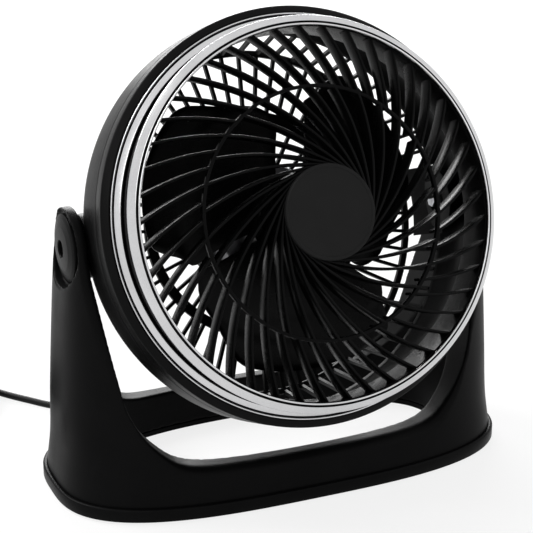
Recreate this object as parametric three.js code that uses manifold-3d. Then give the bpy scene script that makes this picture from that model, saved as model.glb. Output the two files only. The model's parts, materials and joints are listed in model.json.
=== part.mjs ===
// A table-top air circulator: a drum-shaped head with a spiral grille and two bright trim
// rings, hung between the uprights of a low U-shaped stand. Millimetres, +Z up, front to -Y.
// The stand is drawn round the pivot axis. Head pieces are drawn in the head's own frame, with
// X to the right, Y up and Z forward along the axis of the fan, from the pivot.
import * as THREE from 'three';
import { mergeVertices } from 'three/addons/utils/BufferGeometryUtils.js';
import Module from 'manifold-3d';

const wasm = await Module();
wasm.setup();

// ---------------------------------------------------------------- driving dimensions
const GAP = 0.3; // clearance between seated pieces
const ROUND = 45; // facets round the big rings
const SMALL_ROUND = 16; // facets round motor-sized pieces
const SCREW_ROUND = 8; // facets round screws and their holes

// head, radii from the fan axis and stations forward of the pivot
const TILT = 20; // degrees the head looks up at rest
const PIVOT_HEIGHT = 151.2;
const DRUM_R = 120;
const DRUM_WALL = 2.6;
const DRUM_FRONT = 37.3;
const DRUM_SHOULDER = 16; // the side wall tapers behind this station
const SHOULDER_DROP = 4.8; // how far the taper comes in by the pivot station
const BEZEL_SET_IN = 0.6; // bezel radius inside the drum's
const BEZEL_BAND = 4.1; // width of the dark band outside the rear trim ring
const BEZEL_DEPTH = 10.5;
const TRIM_THICKNESS = 2.2;
const LIP_WALL = 1.6; // bezel lip that holds the grille's flange
const FLANGE_WALL = 2.2;
const GRILLE_SET_IN = 11.4; // the grille's rim inside the drum's radius
const GRILLE_R = DRUM_R - GRILLE_SET_IN;
const GRILLE_WALL = 4.6;
const GRILLE_STANDOFF = 14.2; // length of rim wall in front of the bezel lip
const BEVEL_WIDTH = 4.4;
const BEVEL_RISE = 7.2;
const CHROME_SHELL = 1.2;

// grille ribs
const HUB_R = 27.2;
const BADGE_THICKNESS = 2.1;
const INNER_RIBS = 30;
const OUTER_RIBS = 45;
const RIB_WIDTH = 1.8;
const RIB_DEPTH = 10.5;
const RIB_RING_SET_IN = 38.1; // middle ring inside the grille's rim
const RIB_RING_R = GRILLE_R - RIB_RING_SET_IN;
const RIB_RING_WIDTH = 2.2;
const RIB_LEAD = 0.24; // degrees of extra spiral for each millimetre of radius
const RIB_START = -38; // degrees, angle at which a rib leaves the hub
const DOME = 13.6; // how far the rib front falls from hub to rim

// rear basket
const BASKET_BACK = -37;
const BASKET_SET_IN = 13; // the basket's corner inside the drum's radius
const BASKET_CORNER_R = DRUM_R - BASKET_SET_IN;
const BASKET_RIBS = 56;
const BASKET_RIB_WIDTH = 2;
const BASKET_RIB_DEPTH = 3;
const CORNER_RING_WIDTH = 4;
const MOUTH_RING_WIDTH = 3.2;
const MIDDLE_RING_SET_IN = 40.5; // middle ring inside the basket's corner
const MIDDLE_RING_R = BASKET_CORNER_R - MIDDLE_RING_SET_IN;
const MIDDLE_RING_WIDTH = 6;
const PAN_R = 41;
const PAN_WALL = 3;

// motor, impeller and switch
const MOTOR_R = 34;
const MOTOR_LENGTH = 29;
const MOTOR_WALL = 1.4;
const BEARING_R = 7;
const SHAFT_R = 3;
const ROTOR_R = 16.5;
const CORE_LENGTH = 18;
const IMPELLER_HUB_R = 26;
const IMPELLER_HUB_DEPTH = 30;
const IMPELLER_BACK = 4;
const BLADE_CLEARANCE = 28.2; // from the blades' tips to the drum's wall
const IMPELLER_R = DRUM_R - DRUM_WALL - BLADE_CLEARANCE;
const BLADES = 3;
const BLADE_FIRST = 26; // degrees
const BLADE_FRONT = 2.4; // front edge behind the front of the hub
const BLADE_BACK_ROOT = 7; // back edge in front of the back of the hub, by the hub
const BLADE_BACK_TIP = 4;
const BLADE_HOLLOW = 3.3; // how far the middle of a blade lies behind a flat one
const BLADE_THICKNESS = 2;
const COVER_DEPTH = 14.7;
const COVER_WALL = 2.2;
const COVER_CHAMFER = 7;
const SWITCH_R = 13;
const SWITCH_DEPTH = 9.5;
const SWITCH_NECK_R = 5.6;
const KNOB_R = 15.5;
const KNOB_DEPTH = 14;
const MOTOR_SCREWS_R = 24;
const COVER_SCREW_SET_IN = 11; // inside the pan's edge
const COVER_SCREWS_R = PAN_R - COVER_SCREW_SET_IN;
const COVER_SCREW_FIRST = 30; // degrees
const MOTOR_SCREW_FIRST = 90; // degrees

// stand
const SIDE_CLEARANCE = 2.3; // from the drum's side to the upright
const UPRIGHT_THICKNESS = 8.9; // at the pivot
const FLARE = 12.2; // how much further out the foot reaches than the upright's head
const FOOT_DEPTH = 141; // front to back
const FOOT_POWER = 2.93; // squareness of the foot's outline
const HOLE_POWER = 2.6;
const FOOT_HEIGHT = 9;
const FOOT_LIFT = 1; // floor to the underside, on the pads
const FOOT_FLOOR = 3;
const SKIRT_WALL = 2.2;
const STAND_WALL = 2.6;
const BAR_TOP = 28;
const KNEE_RISE = 14; // from the bar's top to where the upright's straight sides begin
const BAR_WIDTH = 12.5; // wall of the foot ring, outline to hole, at the top of the bar
const HOLE_SIDE = 29.4; // from the foot's end to the hole
const HEAD_ROUND_R = 23.5; // rounded top of the upright
const SIDE_SLOPE = 0.28; // how fast the upright widens downwards, seen from the side
const CAVITY_TOP_DROP = 27; // the upright's hollow ends this far below the pivot
const PAD_R = 8;
const PAD_HEIGHT = 2.3;
const PAD_SIDE = 23.4; // from the foot's end to the pad's centre
const PAD_FACE = 36.5; // from the foot's front to the pad's centre

// pivot
const CAP_R = 20.5;
const CAP_RIM = 2.7;
const CAP_CROWN = 2.6;
const CAP_SINK = 2.6; // rim of the cap below the upright's outer face
const POCKET_FLARE = 5;
const STUB_R = 8.7;
const BOSS_R = 18.5;
const BOSS_SHY = 0.1; // boss face inside the drum's side
const WASHER_R = 15.5;
const BOSS_FLOOR = 4.9;
const STUB_SOCKET = 5.7;
const EAR_HALF_HEIGHT = 21;
const EAR_DEPTH = 26;
const EAR_REACH = 30; // how far in from the drum's side the ears and their notches are cut
const NOTCH_PAST = 5; // how far a cut runs past the wall it goes through
const PIVOT_SCREW_R = 2;
const PIVOT_HEAD_R = 4.3;
const HEAD_SINK = 5; // screw head's seat behind the back of the cap
const PIVOT_NUT_R = 4.6;
const PIVOT_NUT_DEPTH = 3.2;

// mains lead
const CORD_D = 4.4;
const GLAND_X = -97;
const GLAND_R = 4.9;
const GLAND_LENGTH = 25;
const GLAND_Z = 14.6;
const GLAND_WALL_SET_IN = 12.4; // the wall it goes through, inside the foot's outline
const COIL_X = -173.5;
const COIL_Y = 144;
const COIL_MIDDLE_R = 26;
const COIL_SPREAD = 5.1; // from the middle of the turns to the outer one
const COIL_LAYERS = 4;
const COIL_PITCH = 5; // between layers
const COIL_START = 37.7; // degrees
const COIL_END = 210;
const COIL_FULL_TURNS = 7;
const LOOP_STEPS = 24;
const LOOP_SIDES = 6;
const PLUG_WIDTH = 35;
const PLUG_HEIGHT = 13.6;
const PLUG_LENGTH = 32;
const PIN_R = 2;
const PIN_LENGTH = 19;
const PIN_SPACING = 18.6;

// ---------------------------------------------------------------- finishes
const finish = (color, roughness, metalness = 0) =>
  new THREE.MeshStandardMaterial({ color, roughness, metalness });
const blackPlastic = finish(0x1b1b1d, 0.5);
const standPlastic = finish(0x202022, 0.6);
const chrome = finish(0xd8d8da, 0.12, 1);
const badgePlastic = finish(0x2c2b2c, 0.55);
const steel = finish(0x9a9a9c, 0.35, 1);
const rubber = finish(0x151515, 0.9);
const copper = finish(0x9c5a34, 0.4, 0.8);
const cable = finish(0x141414, 0.6);

// ---------------------------------------------------------------- helpers
const rad = THREE.MathUtils.degToRad;
const turn = (degrees) => new THREE.Matrix4().makeRotationZ(rad(degrees));
const place = (x, y, z) => new THREE.Matrix4().makeTranslation(x, y, z);
const alongX = new THREE.Matrix4().makeBasis(
  new THREE.Vector3(0, 1, 0), new THREE.Vector3(0, 0, 1), new THREE.Vector3(1, 0, 0));
const alongY = new THREE.Matrix4().makeBasis(
  new THREE.Vector3(1, 0, 0), new THREE.Vector3(0, 0, 1), new THREE.Vector3(0, -1, 0));

// A closed geometry as a solid with its faces outwards.
function solid(geometry, matrix) {
  const shape = geometry.clone();
  if (matrix) shape.applyMatrix4(matrix);
  shape.deleteAttribute('normal');
  shape.deleteAttribute('uv');
  const merged = mergeVertices(shape, 1e-4);
  const points = merged.attributes.position.array;
  const triangles = Array.from(merged.index.array);
  let volume = 0;
  const corner = [new THREE.Vector3(), new THREE.Vector3(), new THREE.Vector3()];
  for (let i = 0; i < triangles.length; i += 3) {
    corner.forEach((v, k) => v.fromArray(points, 3 * triangles[i + k]));
    volume += corner[0].dot(corner[1].clone().cross(corner[2]));
  }
  const kept = [];
  for (let i = 0; i < triangles.length; i += 3) {
    const [a, b, c] = triangles.slice(i, i + 3);
    if (a === b || b === c || c === a) continue;
    kept.push(...(volume < 0 ? [a, c, b] : [a, b, c]));
  }
  return new wasm.Manifold(new wasm.Mesh({
    numProp: 3,
    vertProperties: new Float32Array(points),
    triVerts: new Uint32Array(kept),
  }));
}

function geometryOf(shape) {
  const { vertProperties, triVerts } = shape.getMesh();
  const geometry = new THREE.BufferGeometry();
  geometry.setAttribute('position', new THREE.BufferAttribute(vertProperties, 3));
  geometry.setIndex(new THREE.BufferAttribute(triVerts, 1));
  geometry.computeVertexNormals();
  return geometry;
}

const joined = (pieces) => pieces.reduce((whole, piece) => whole.add(piece));

// A profile of [radius, station] points turned about the Z axis. It closes on itself, or on
// the axis where its first and last radii are zero.
function turned(profile, facets = ROUND) {
  const closed = profile[0][0] > 0 ? [...profile, profile[0]] : profile;
  const points = closed.map(([r, z]) => new THREE.Vector2(r, z));
  return solid(new THREE.LatheGeometry(points, facets), new THREE.Matrix4().makeRotationX(Math.PI / 2));
}

const rod = (radius, from, to, facets = SMALL_ROUND) =>
  turned([[0, from], [radius, from], [radius, to], [0, to]], facets);

const tubeSolid = (outer, inner, from, to, facets = SMALL_ROUND) =>
  turned([[inner, from], [outer, from], [outer, to], [inner, to]], facets);

function extruded(shape, depth, curveSegments = 12) {
  return new THREE.ExtrudeGeometry(shape, { depth, bevelEnabled: false, curveSegments });
}

const block = (x0, x1, y0, y1, z0, z1) => solid(
  new THREE.BoxGeometry(x1 - x0, y1 - y0, z1 - z0),
  place((x0 + x1) / 2, (y0 + y1) / 2, (z0 + z1) / 2));

function around(count, piece, first = 0) {
  return Array.from({ length: count }, (_, k) =>
    piece.transform(turn(first + (360 * k) / count).toArray()));
}

// A point of the rounded rectangle |x/a|^power + |y/b|^power = 1.
function outlinePoint(a, b, power, angle) {
  const c = Math.cos(angle);
  const s = Math.sin(angle);
  return [
    a * Math.sign(c) * Math.abs(c) ** (2 / power),
    b * Math.sign(s) * Math.abs(s) ** (2 / power),
  ];
}

// A stack of such outlines, one for each [height, half width, half depth].
function loft(sections, power, facets = ROUND) {
  const rows = sections.length - 1;
  const geometry = new THREE.CylinderGeometry(1, 1, 1, facets, rows);
  const position = geometry.attributes.position;
  for (let i = 0; i < position.count; i += 1) {
    const [height, a, b] = sections[Math.round((position.getY(i) + 0.5) * rows)];
    const x = position.getX(i);
    const z = position.getZ(i);
    const onAxis = Math.hypot(x, z) < 0.5;
    const [px, py] = onAxis ? [0, 0] : outlinePoint(a, b, power, Math.atan2(-z, x));
    position.setXYZ(i, px, py, height);
  }
  return solid(geometry);
}

// ---------------------------------------------------------------- derived sizes
const bezelR = DRUM_R - BEZEL_SET_IN;
const trimR = bezelR - BEZEL_BAND - GAP;
const bezelFront = DRUM_FRONT + GAP + BEZEL_DEPTH;
const lipFace = bezelFront + 0.2;
const trimFace = lipFace + GAP;
const lipBack = lipFace - LIP_WALL;
const flangeR = (GRILLE_R + trimR) / 2 + 1;
const grilleBore = GRILLE_R - GRILLE_WALL;
const rimShoulder = lipFace + GRILLE_STANDOFF;
const bevelTop = rimShoulder + BEVEL_RISE;
const hubFace = bevelTop + DOME - 1;
const pivotFace = DRUM_R + SIDE_CLEARANCE;
const outerFace = pivotFace + UPRIGHT_THICKNESS;
const footHalfWidth = outerFace + FLARE;
const footHalfDepth = FOOT_DEPTH / 2;
const drumBackR = DRUM_R - SHOULDER_DROP;
const panFace = BASKET_BACK + PAN_WALL;
const motorBack = panFace + GAP;
const motorFront = motorBack + MOTOR_LENGTH;
const coverBack = BASKET_BACK - GAP - COVER_DEPTH;
const capRim = outerFace - CAP_SINK;
const capBack = capRim - CAP_RIM;
const headSeat = capBack - HEAD_SINK;
const bossFace = DRUM_R - BOSS_SHY;
const socketFloor = bossFace - STUB_SOCKET;

// ---------------------------------------------------------------- head shells
// Radius of the drum and basket's outside at a station behind the shoulder.
function taperR(z) {
  if (z >= 0) return drumBackR + (DRUM_R - drumBackR) * Math.sin((Math.PI / 2) * (z / DRUM_SHOULDER));
  return drumBackR + (BASKET_CORNER_R - drumBackR) * (z / (BASKET_BACK + CORNER_RING_WIDTH));
}

function drumWall() {
  const middle = DRUM_SHOULDER / 2;
  return turned([
    [taperR(0), 0], [taperR(middle), middle], [DRUM_R, DRUM_SHOULDER], [DRUM_R, DRUM_FRONT],
    [DRUM_R - DRUM_WALL, DRUM_FRONT], [DRUM_R - DRUM_WALL, DRUM_SHOULDER],
    [taperR(0) - DRUM_WALL, 0],
  ]);
}

// The patch of tapered wall beside each pivot, with the round boss and its socket.
function pivotEar(side) {
  const taper = turned([
    [taperR(0) - DRUM_WALL, 1], [taperR(0), 1], [taperR(-EAR_DEPTH), -EAR_DEPTH],
    [taperR(-EAR_DEPTH) - DRUM_WALL, -EAR_DEPTH],
  ]);
  const near = side > 0 ? DRUM_R - EAR_REACH : -bossFace;
  const far = side > 0 ? bossFace : EAR_REACH - DRUM_R;
  const patch = taper.intersect(
    block(near, far, -EAR_HALF_HEIGHT, EAR_HALF_HEIGHT, -EAR_DEPTH - 1, 2));
  const toSide = new THREE.Matrix4().makeRotationY((side * Math.PI) / 2);
  const bossBack = socketFloor - BOSS_FLOOR;
  const boss = solid(geometryOf(rod(BOSS_R, bossBack, bossFace)), toSide);
  const socket = solid(geometryOf(rod(STUB_R + GAP, socketFloor, bossFace + 1)), toSide);
  const bolt = solid(geometryOf(rod(PIVOT_SCREW_R + GAP, bossBack - 1, bossFace)), toSide);
  return { body: patch.add(boss), bore: socket.add(bolt) };
}

function housingShell() {
  const ears = [pivotEar(1), pivotEar(-1)];
  const body = drumWall().add(ears[0].body).add(ears[1].body);
  return body.subtract(ears[0].bore).subtract(ears[1].bore);
}

// Ring behind the trim: its lip catches the grille's flange and a spigot enters the drum.
function frontBezel() {
  const back = DRUM_FRONT + GAP;
  const spigotR = DRUM_R - DRUM_WALL - GAP;
  const lipBore = GRILLE_R + GAP + 0.1;
  return turned([
    [spigotR, back], [bezelR, back], [bezelR, bezelFront - 1], [trimR + GAP, lipFace],
    [lipBore, lipFace], [lipBore, lipBack], [flangeR + GAP, lipBack], [flangeR + GAP, back - 5],
    [spigotR, back - 5],
  ]);
}

function rearTrimRing() {
  const bore = GRILLE_R + GAP + 0.5;
  const face = trimFace + TRIM_THICKNESS;
  return turned([
    [bore, trimFace], [trimR, trimFace], [trimR - 0.5, face], [bore, face - 0.3],
  ]);
}

// Bright bevel on the mouth of the grille, with its rolled inner lip.
function frontTrimRing() {
  const slope = Math.hypot(BEVEL_WIDTH, BEVEL_RISE);
  const nx = (BEVEL_RISE / slope) * CHROME_SHELL;
  const nz = (BEVEL_WIDTH / slope) * CHROME_SHELL;
  const outer = GRILLE_R + 0.7;
  const inner = outer - BEVEL_WIDTH;
  return turned([
    [outer, rimShoulder + 1.4], [inner, bevelTop + 1.4], [inner - 1.2, bevelTop + 1.8],
    [inner - 2.2, bevelTop + 0.9], [inner - nx, bevelTop + 1.4 - nz],
    [outer - nx, rimShoulder + 1.4 - nz],
  ]);
}

// ---------------------------------------------------------------- spiral grille
const ribStartR = HUB_R - 1;
const ribInnerR = HUB_R + 1.5;
const ribFront = (r) => hubFace - DOME * (r / (GRILLE_R - BEVEL_WIDTH)) ** 2;
const ribAngle = (r) => Math.acos(Math.min(1, ribStartR / r)) + rad(RIB_LEAD * (r - ribStartR));

// Centre line of a rib: it leaves the hub along a tangent and curls on towards the rim. The
// run is the distance along that tangent.
function ribPoint(run, side) {
  const at = (s) => {
    const r = Math.hypot(ribStartR, s);
    return new THREE.Vector2(r * Math.cos(ribAngle(r)), r * Math.sin(ribAngle(r)));
  };
  const along = at(run + 0.01).sub(at(run - 0.01)).normalize();
  return at(run).add(new THREE.Vector2(-along.y, along.x).multiplyScalar((side * RIB_WIDTH) / 2));
}

// The opening between one rib and the next, a given number of ribs to the circle.
function ribWindow(index, count, fromR, toR, steps) {
  const run = (r) => Math.sqrt(r * r - ribStartR * ribStartR);
  const levels = Array.from({ length: steps + 1 }, (_, i) =>
    THREE.MathUtils.lerp(run(fromR), run(toR), i / steps));
  const centre = new THREE.Vector2();
  const angle = (k) => rad(RIB_START + (360 * k) / count);
  const near = levels.map((s) => ribPoint(s, 1).rotateAround(centre, angle(index)));
  const far = levels.map((s) => ribPoint(s, -1).rotateAround(centre, angle(index + 1)));
  return [...near, ...far.reverse()];
}

function circlePoints(radius, facets) {
  return Array.from({ length: facets }, (_, k) => {
    const angle = (2 * Math.PI * k) / facets;
    return new THREE.Vector2(radius * Math.cos(angle), radius * Math.sin(angle));
  });
}

// A flat plate with openings, its front face then moved to height(r).
function windowedPlate(radius, facets, windows, thickness, height) {
  const outline = new THREE.Shape(circlePoints(radius, facets));
  outline.holes.push(...windows.map((points) => new THREE.Path(points)));
  const geometry = new THREE.ExtrudeGeometry(outline, { depth: thickness, bevelEnabled: false });
  const position = geometry.attributes.position;
  for (let i = 0; i < position.count; i += 1) {
    const r = Math.hypot(position.getX(i), position.getY(i));
    position.setZ(i, position.getZ(i) - thickness + height(r));
  }
  return solid(geometry);
}

const rimMouth = grilleBore - 1.4;

function grilleRim() {
  const back = lipBack - GAP - FLANGE_WALL;
  const top = bevelTop - 0.9;
  return turned([
    [grilleBore, back], [flangeR, back], [flangeR, lipBack - GAP], [GRILLE_R, lipBack - GAP],
    [GRILLE_R, rimShoulder - 0.6], [GRILLE_R - BEVEL_WIDTH - 0.7, top], [rimMouth, top],
  ]);
}

// Hub and ribs are one domed plate, let into the rim below its bevel.
function frontGrille() {
  const half = RIB_RING_WIDTH / 2;
  const ribEnd = rimMouth + 0.8;
  const inner = Array.from({ length: INNER_RIBS }, (_, k) =>
    ribWindow(k, INNER_RIBS, ribInnerR, RIB_RING_R - half, 3));
  const outer = Array.from({ length: OUTER_RIBS }, (_, k) =>
    ribWindow(k, OUTER_RIBS, RIB_RING_R + half, ribEnd, 2));
  const sunk = (r) => (r > ribEnd + 0.5 ? 3 : 0.8);
  const height = (r) => ribFront(r) - (r > rimMouth + 0.5 ? sunk(r) : 0);
  const ribs = windowedPlate(ribEnd + 1.2, ROUND, [...inner, ...outer], RIB_DEPTH, height);
  return grilleRim().add(ribs);
}

function hubBadge() {
  const back = ribFront(ribInnerR - 1) + GAP;
  const face = hubFace + GAP + BADGE_THICKNESS;
  const edge = HUB_R - 0.5;
  return turned([
    [0, back], [edge, back], [edge, face - 0.8], [edge - 0.8, face], [0, face - 0.2],
  ], 36);
}

// ---------------------------------------------------------------- rear basket
// A slot between two straight ribs, drawn on the basket laid out flat.
function backSlot(index, count, fromR, toR) {
  const half = BASKET_RIB_WIDTH / 2;
  const corner = (r, side) => {
    const rib = rad((360 * (index + (1 - side) / 2 + 0.5)) / count);
    const angle = rib + (side * half) / r;
    return new THREE.Vector2(r * Math.cos(angle), r * Math.sin(angle));
  };
  return [corner(fromR, 1), corner(toR, 1), corner(toR, -1), corner(fromR, -1)];
}

// The basket laid out flat: radius on the plate for each station it folds to, with the radius
// and station of its outside and its inside there.
function basketFold() {
  const corner = BASKET_BACK + CORNER_RING_WIDTH;
  const slotEnd = BASKET_CORNER_R - CORNER_RING_WIDTH;
  const foldEnd = BASKET_CORNER_R + CORNER_RING_WIDTH;
  const mouth = -GAP - MOUTH_RING_WIDTH;
  const rimEnd = foldEnd + mouth - corner;
  const depth = BASKET_RIB_DEPTH;
  return [
    { flat: 0, out: [0, BASKET_BACK], in: [0, BASKET_BACK + depth] },
    { flat: slotEnd, out: [slotEnd, BASKET_BACK], in: [slotEnd - 0.6, BASKET_BACK + depth] },
    { flat: foldEnd, out: [taperR(corner), corner], in: [taperR(corner) - depth, corner + 0.6] },
    { flat: rimEnd, out: [taperR(mouth), mouth], in: [taperR(mouth) - DRUM_WALL, mouth] },
    { flat: rimEnd + MOUTH_RING_WIDTH, out: [taperR(-GAP), -GAP], in: [taperR(-GAP) - DRUM_WALL, -GAP] },
  ];
}

function foldedBasket(windows) {
  const folds = basketFold();
  const flatRim = folds[folds.length - 1].flat;
  const outline = new THREE.Shape(circlePoints(flatRim, BASKET_RIBS));
  outline.holes.push(...windows.map((points) => new THREE.Path(points)));
  const geometry = new THREE.ExtrudeGeometry(outline, { depth: 1, bevelEnabled: false });
  const position = geometry.attributes.position;
  for (let i = 0; i < position.count; i += 1) {
    const x = position.getX(i);
    const y = position.getY(i);
    const flat = Math.min(Math.hypot(x, y), flatRim - 1e-4);
    const next = folds.findIndex((fold) => fold.flat > flat);
    const before = folds[next - 1];
    const share = (flat - before.flat) / (folds[next].flat - before.flat);
    const face = position.getZ(i) > 0.5 ? 'in' : 'out';
    const [r, z] = [0, 1].map((k) =>
      THREE.MathUtils.lerp(before[face][k], folds[next][face][k], share));
    const scale = r / Math.hypot(x, y);
    position.setXYZ(i, x * scale, y * scale, z);
  }
  return solid(geometry);
}

function rearGrille() {
  const half = MIDDLE_RING_WIDTH / 2;
  const folds = basketFold();
  const back = Array.from({ length: BASKET_RIBS }, (_, k) =>
    backSlot(k, BASKET_RIBS, MIDDLE_RING_R + half, folds[1].flat));
  const side = Array.from({ length: BASKET_RIBS }, (_, k) =>
    backSlot(k, BASKET_RIBS, folds[2].flat, folds[3].flat));
  const inner = Array.from({ length: BASKET_RIBS / 2 }, (_, k) =>
    backSlot(k, BASKET_RIBS / 2, PAN_R - 0.5, MIDDLE_RING_R - half));
  const body = foldedBasket([...back, ...side, ...inner]);
  const depth = EAR_DEPTH + GAP;
  const height = EAR_HALF_HEIGHT + GAP;
  const near = DRUM_R - EAR_REACH;
  const reach = DRUM_R + NOTCH_PAST;
  const ears = block(near, reach, -height, height, -depth, NOTCH_PAST)
    .add(block(-reach, -near, -height, height, -depth, NOTCH_PAST));
  const middle = rod(BEARING_R, BASKET_BACK - 1, panFace + 1);
  const hole = rod(1.9, BASKET_BACK - 1, panFace + 1, SCREW_ROUND);
  const motorHoles = around(3, hole.translate([MOTOR_SCREWS_R, 0, 0]), MOTOR_SCREW_FIRST);
  const coverHoles = around(3, hole.translate([COVER_SCREWS_R, 0, 0]), COVER_SCREW_FIRST);
  return body.subtract(ears).subtract(middle).subtract(joined([...motorHoles, ...coverHoles]));
}

// ---------------------------------------------------------------- motor
function motorShell() {
  const can = turned([
    [BEARING_R + GAP, motorBack], [MOTOR_R, motorBack], [MOTOR_R, motorFront],
    [MOTOR_R - MOTOR_WALL, motorFront], [MOTOR_R - MOTOR_WALL, motorBack + 2],
    [BEARING_R + GAP, motorBack + 2],
  ], SMALL_ROUND * 1.5);
  const hole = rod(1.9, motorBack - 1, motorBack + 3, SCREW_ROUND);
  return can.subtract(joined(around(3, hole.translate([MOTOR_SCREWS_R, 0, 0]), MOTOR_SCREW_FIRST)));
}

function motorEndCap() {
  const back = motorFront + GAP;
  const bore = BEARING_R + GAP;
  return turned([
    [bore, back - 4], [bore + 2, back - 4], [bore + 2, back], [MOTOR_R, back],
    [MOTOR_R - 1, back + 1.6], [bore, back + 2.4],
  ], SMALL_ROUND * 1.5);
}

const bearing = (from) =>
  tubeSolid(BEARING_R, SHAFT_R + GAP, from, from + 5, 12);
const rearBearingBack = motorBack + 0.2;
const frontBearingBack = motorFront - 3;
const coreBack = motorBack + 6;

function stator() {
  const outer = MOTOR_R - MOTOR_WALL - GAP;
  const ring = tubeSolid(outer, ROTOR_R + 0.6, coreBack, coreBack + CORE_LENGTH, SMALL_ROUND);
  const slot = block(ROTOR_R + 4, outer - 4, -2, 2, coreBack - 1, coreBack + CORE_LENGTH + 1);
  return ring.subtract(joined(around(4, slot, 45)));
}

const rotor = () =>
  tubeSolid(ROTOR_R, SHAFT_R + GAP, coreBack, coreBack + CORE_LENGTH, SMALL_ROUND);
const nutBack = IMPELLER_BACK + IMPELLER_HUB_DEPTH + GAP;
const motorShaft = () => rod(SHAFT_R, rearBearingBack + 0.5, nutBack + 5, SMALL_ROUND);

function motorScrew() {
  const head = BASKET_BACK - GAP;
  return turned([
    [0, head - 2], [3.2, head - 2], [3.2, head], [1.5, head], [1.5, motorBack + 3.5],
    [0, motorBack + 3.5],
  ], SCREW_ROUND);
}

// ---------------------------------------------------------------- impeller
// Outline of a blade: share of the way from hub to tip, then degrees from its middle to its
// front edge and to its back edge, which is swept away towards the tip.
const BLADE_EDGES = [
  [0, 45, 57], [0.24, 47, 60], [0.47, 49, 62], [0.64, 51, 54], [0.76, 45, 36], [0.87, 42, 28],
  [1, 38, 20],
];

// A blade is a sheet of radius by chord, wound round the axis.
function blade() {
  const rows = BLADE_EDGES.length - 1;
  const geometry = new THREE.BoxGeometry(1, 1, 1, rows, 6, 1);
  const position = geometry.attributes.position;
  const front = IMPELLER_BACK + IMPELLER_HUB_DEPTH - BLADE_FRONT;
  for (let i = 0; i < position.count; i += 1) {
    const [out, ahead, behind] = BLADE_EDGES[Math.round((position.getX(i) + 0.5) * rows)];
    const chord = position.getY(i);
    const r = THREE.MathUtils.lerp(IMPELLER_HUB_R - 1.2, IMPELLER_R, out);
    const angle = rad(THREE.MathUtils.lerp(-behind, ahead, chord + 0.5));
    const back = IMPELLER_BACK + THREE.MathUtils.lerp(BLADE_BACK_ROOT, BLADE_BACK_TIP, out);
    const hollow = BLADE_HOLLOW * (1 - 4 * chord * chord);
    const middle = THREE.MathUtils.lerp(back, front, chord + 0.5) - hollow;
    const z = middle + position.getZ(i) * BLADE_THICKNESS;
    position.setXYZ(i, r * Math.cos(angle), r * Math.sin(angle), z);
  }
  return solid(geometry);
}

function impeller() {
  const front = IMPELLER_BACK + IMPELLER_HUB_DEPTH;
  const wall = 2;
  const bore = SHAFT_R + GAP;
  const hub = turned([
    [bore, front], [IMPELLER_HUB_R - 4, front], [IMPELLER_HUB_R, front - 4],
    [IMPELLER_HUB_R, IMPELLER_BACK], [IMPELLER_HUB_R - wall, IMPELLER_BACK],
    [IMPELLER_HUB_R - wall, front - 5.5], [IMPELLER_HUB_R - 5.5, front - wall - 1],
    [bore + 3.4, front - wall - 1], [bore + 3.4, IMPELLER_BACK + 6], [bore, IMPELLER_BACK + 6],
  ], 24);
  return joined([hub, ...around(BLADES, blade(), BLADE_FIRST)]);
}

function impellerNut() {
  const bore = SHAFT_R + GAP;
  return turned([
    [bore, nutBack], [9, nutBack], [9, nutBack + 3], [6.5, nutBack + 6.8], [0, nutBack + 7.5],
    [0, nutBack + 5 + GAP], [bore, nutBack + 5 + GAP], [bore, nutBack],
  ], 12);
}

// ---------------------------------------------------------------- switch, cover and knob
const switchFront = coverBack + COVER_WALL + GAP + SWITCH_DEPTH;
const knobFace = coverBack - 2.3;

function rearCover() {
  const rim = BASKET_BACK - GAP;
  const knee = coverBack + COVER_CHAMFER;
  const inside = coverBack + COVER_WALL;
  const bore = SWITCH_NECK_R + GAP;
  const shell = turned([
    [bore, coverBack], [PAN_R - COVER_CHAMFER, coverBack], [PAN_R, knee], [PAN_R, rim],
    [PAN_R - COVER_WALL, rim], [PAN_R - COVER_WALL, knee + 0.6],
    [PAN_R - COVER_CHAMFER - 0.6, inside], [bore, inside],
  ], SMALL_ROUND * 1.5);
  const post = rod(3.6, coverBack + 0.5, rim, SCREW_ROUND).translate([COVER_SCREWS_R, 0, 0]);
  const hole = rod(1.8, coverBack - 1, rim + 1, SCREW_ROUND).translate([COVER_SCREWS_R, 0, 0]);
  return shell.add(joined(around(3, post, COVER_SCREW_FIRST)))
    .subtract(joined(around(3, hole, COVER_SCREW_FIRST)));
}

function coverScrew() {
  const seat = coverBack - GAP;
  return turned([
    [0, seat - 1.8], [2.2, seat - 1.8], [3.1, seat - 1], [3.1, seat], [1.5, seat],
    [1.5, panFace - 0.5], [0, panFace - 0.5],
  ], SCREW_ROUND);
}

function switchBody() {
  const back = coverBack + COVER_WALL + GAP;
  const stemBore = 3.4;
  return turned([
    [stemBore, coverBack - 1.6], [SWITCH_NECK_R, coverBack - 1.6], [SWITCH_NECK_R, back],
    [SWITCH_R, back], [SWITCH_R, switchFront], [0, switchFront], [0, switchFront - 2],
    [stemBore, switchFront - 2], [stemBore, coverBack - 1.6],
  ], SMALL_ROUND);
}

// Round knob with a grip bar across its face and a stem into the switch.
function speedKnob() {
  const face = knobFace - KNOB_DEPTH;
  const body = turned([
    [0, face + 5], [KNOB_R - 1.5, face + 5], [KNOB_R, face + 6.5], [KNOB_R + 0.8, knobFace],
    [3.1, knobFace], [3.1, switchFront - 2.6], [0, switchFront - 2.6],
  ], SMALL_ROUND);
  const bar = new THREE.Shape();
  bar.absarc(0, KNOB_R - 6, 3.2, 0, Math.PI);
  bar.absarc(0, -KNOB_R + 6, 3.2, Math.PI, 2 * Math.PI);
  return body.add(solid(extruded(bar, 6, 5), place(0, 0, face)));
}

// ---------------------------------------------------------------- stand
// Inner edge of each upright: how far it stands in from the pivot face, and how far down.
const ARCH = [[0, 0], [2.3, 22], [7, 54], [12.7, 84], [23.9, 105], [38.3, 118]];
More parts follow.
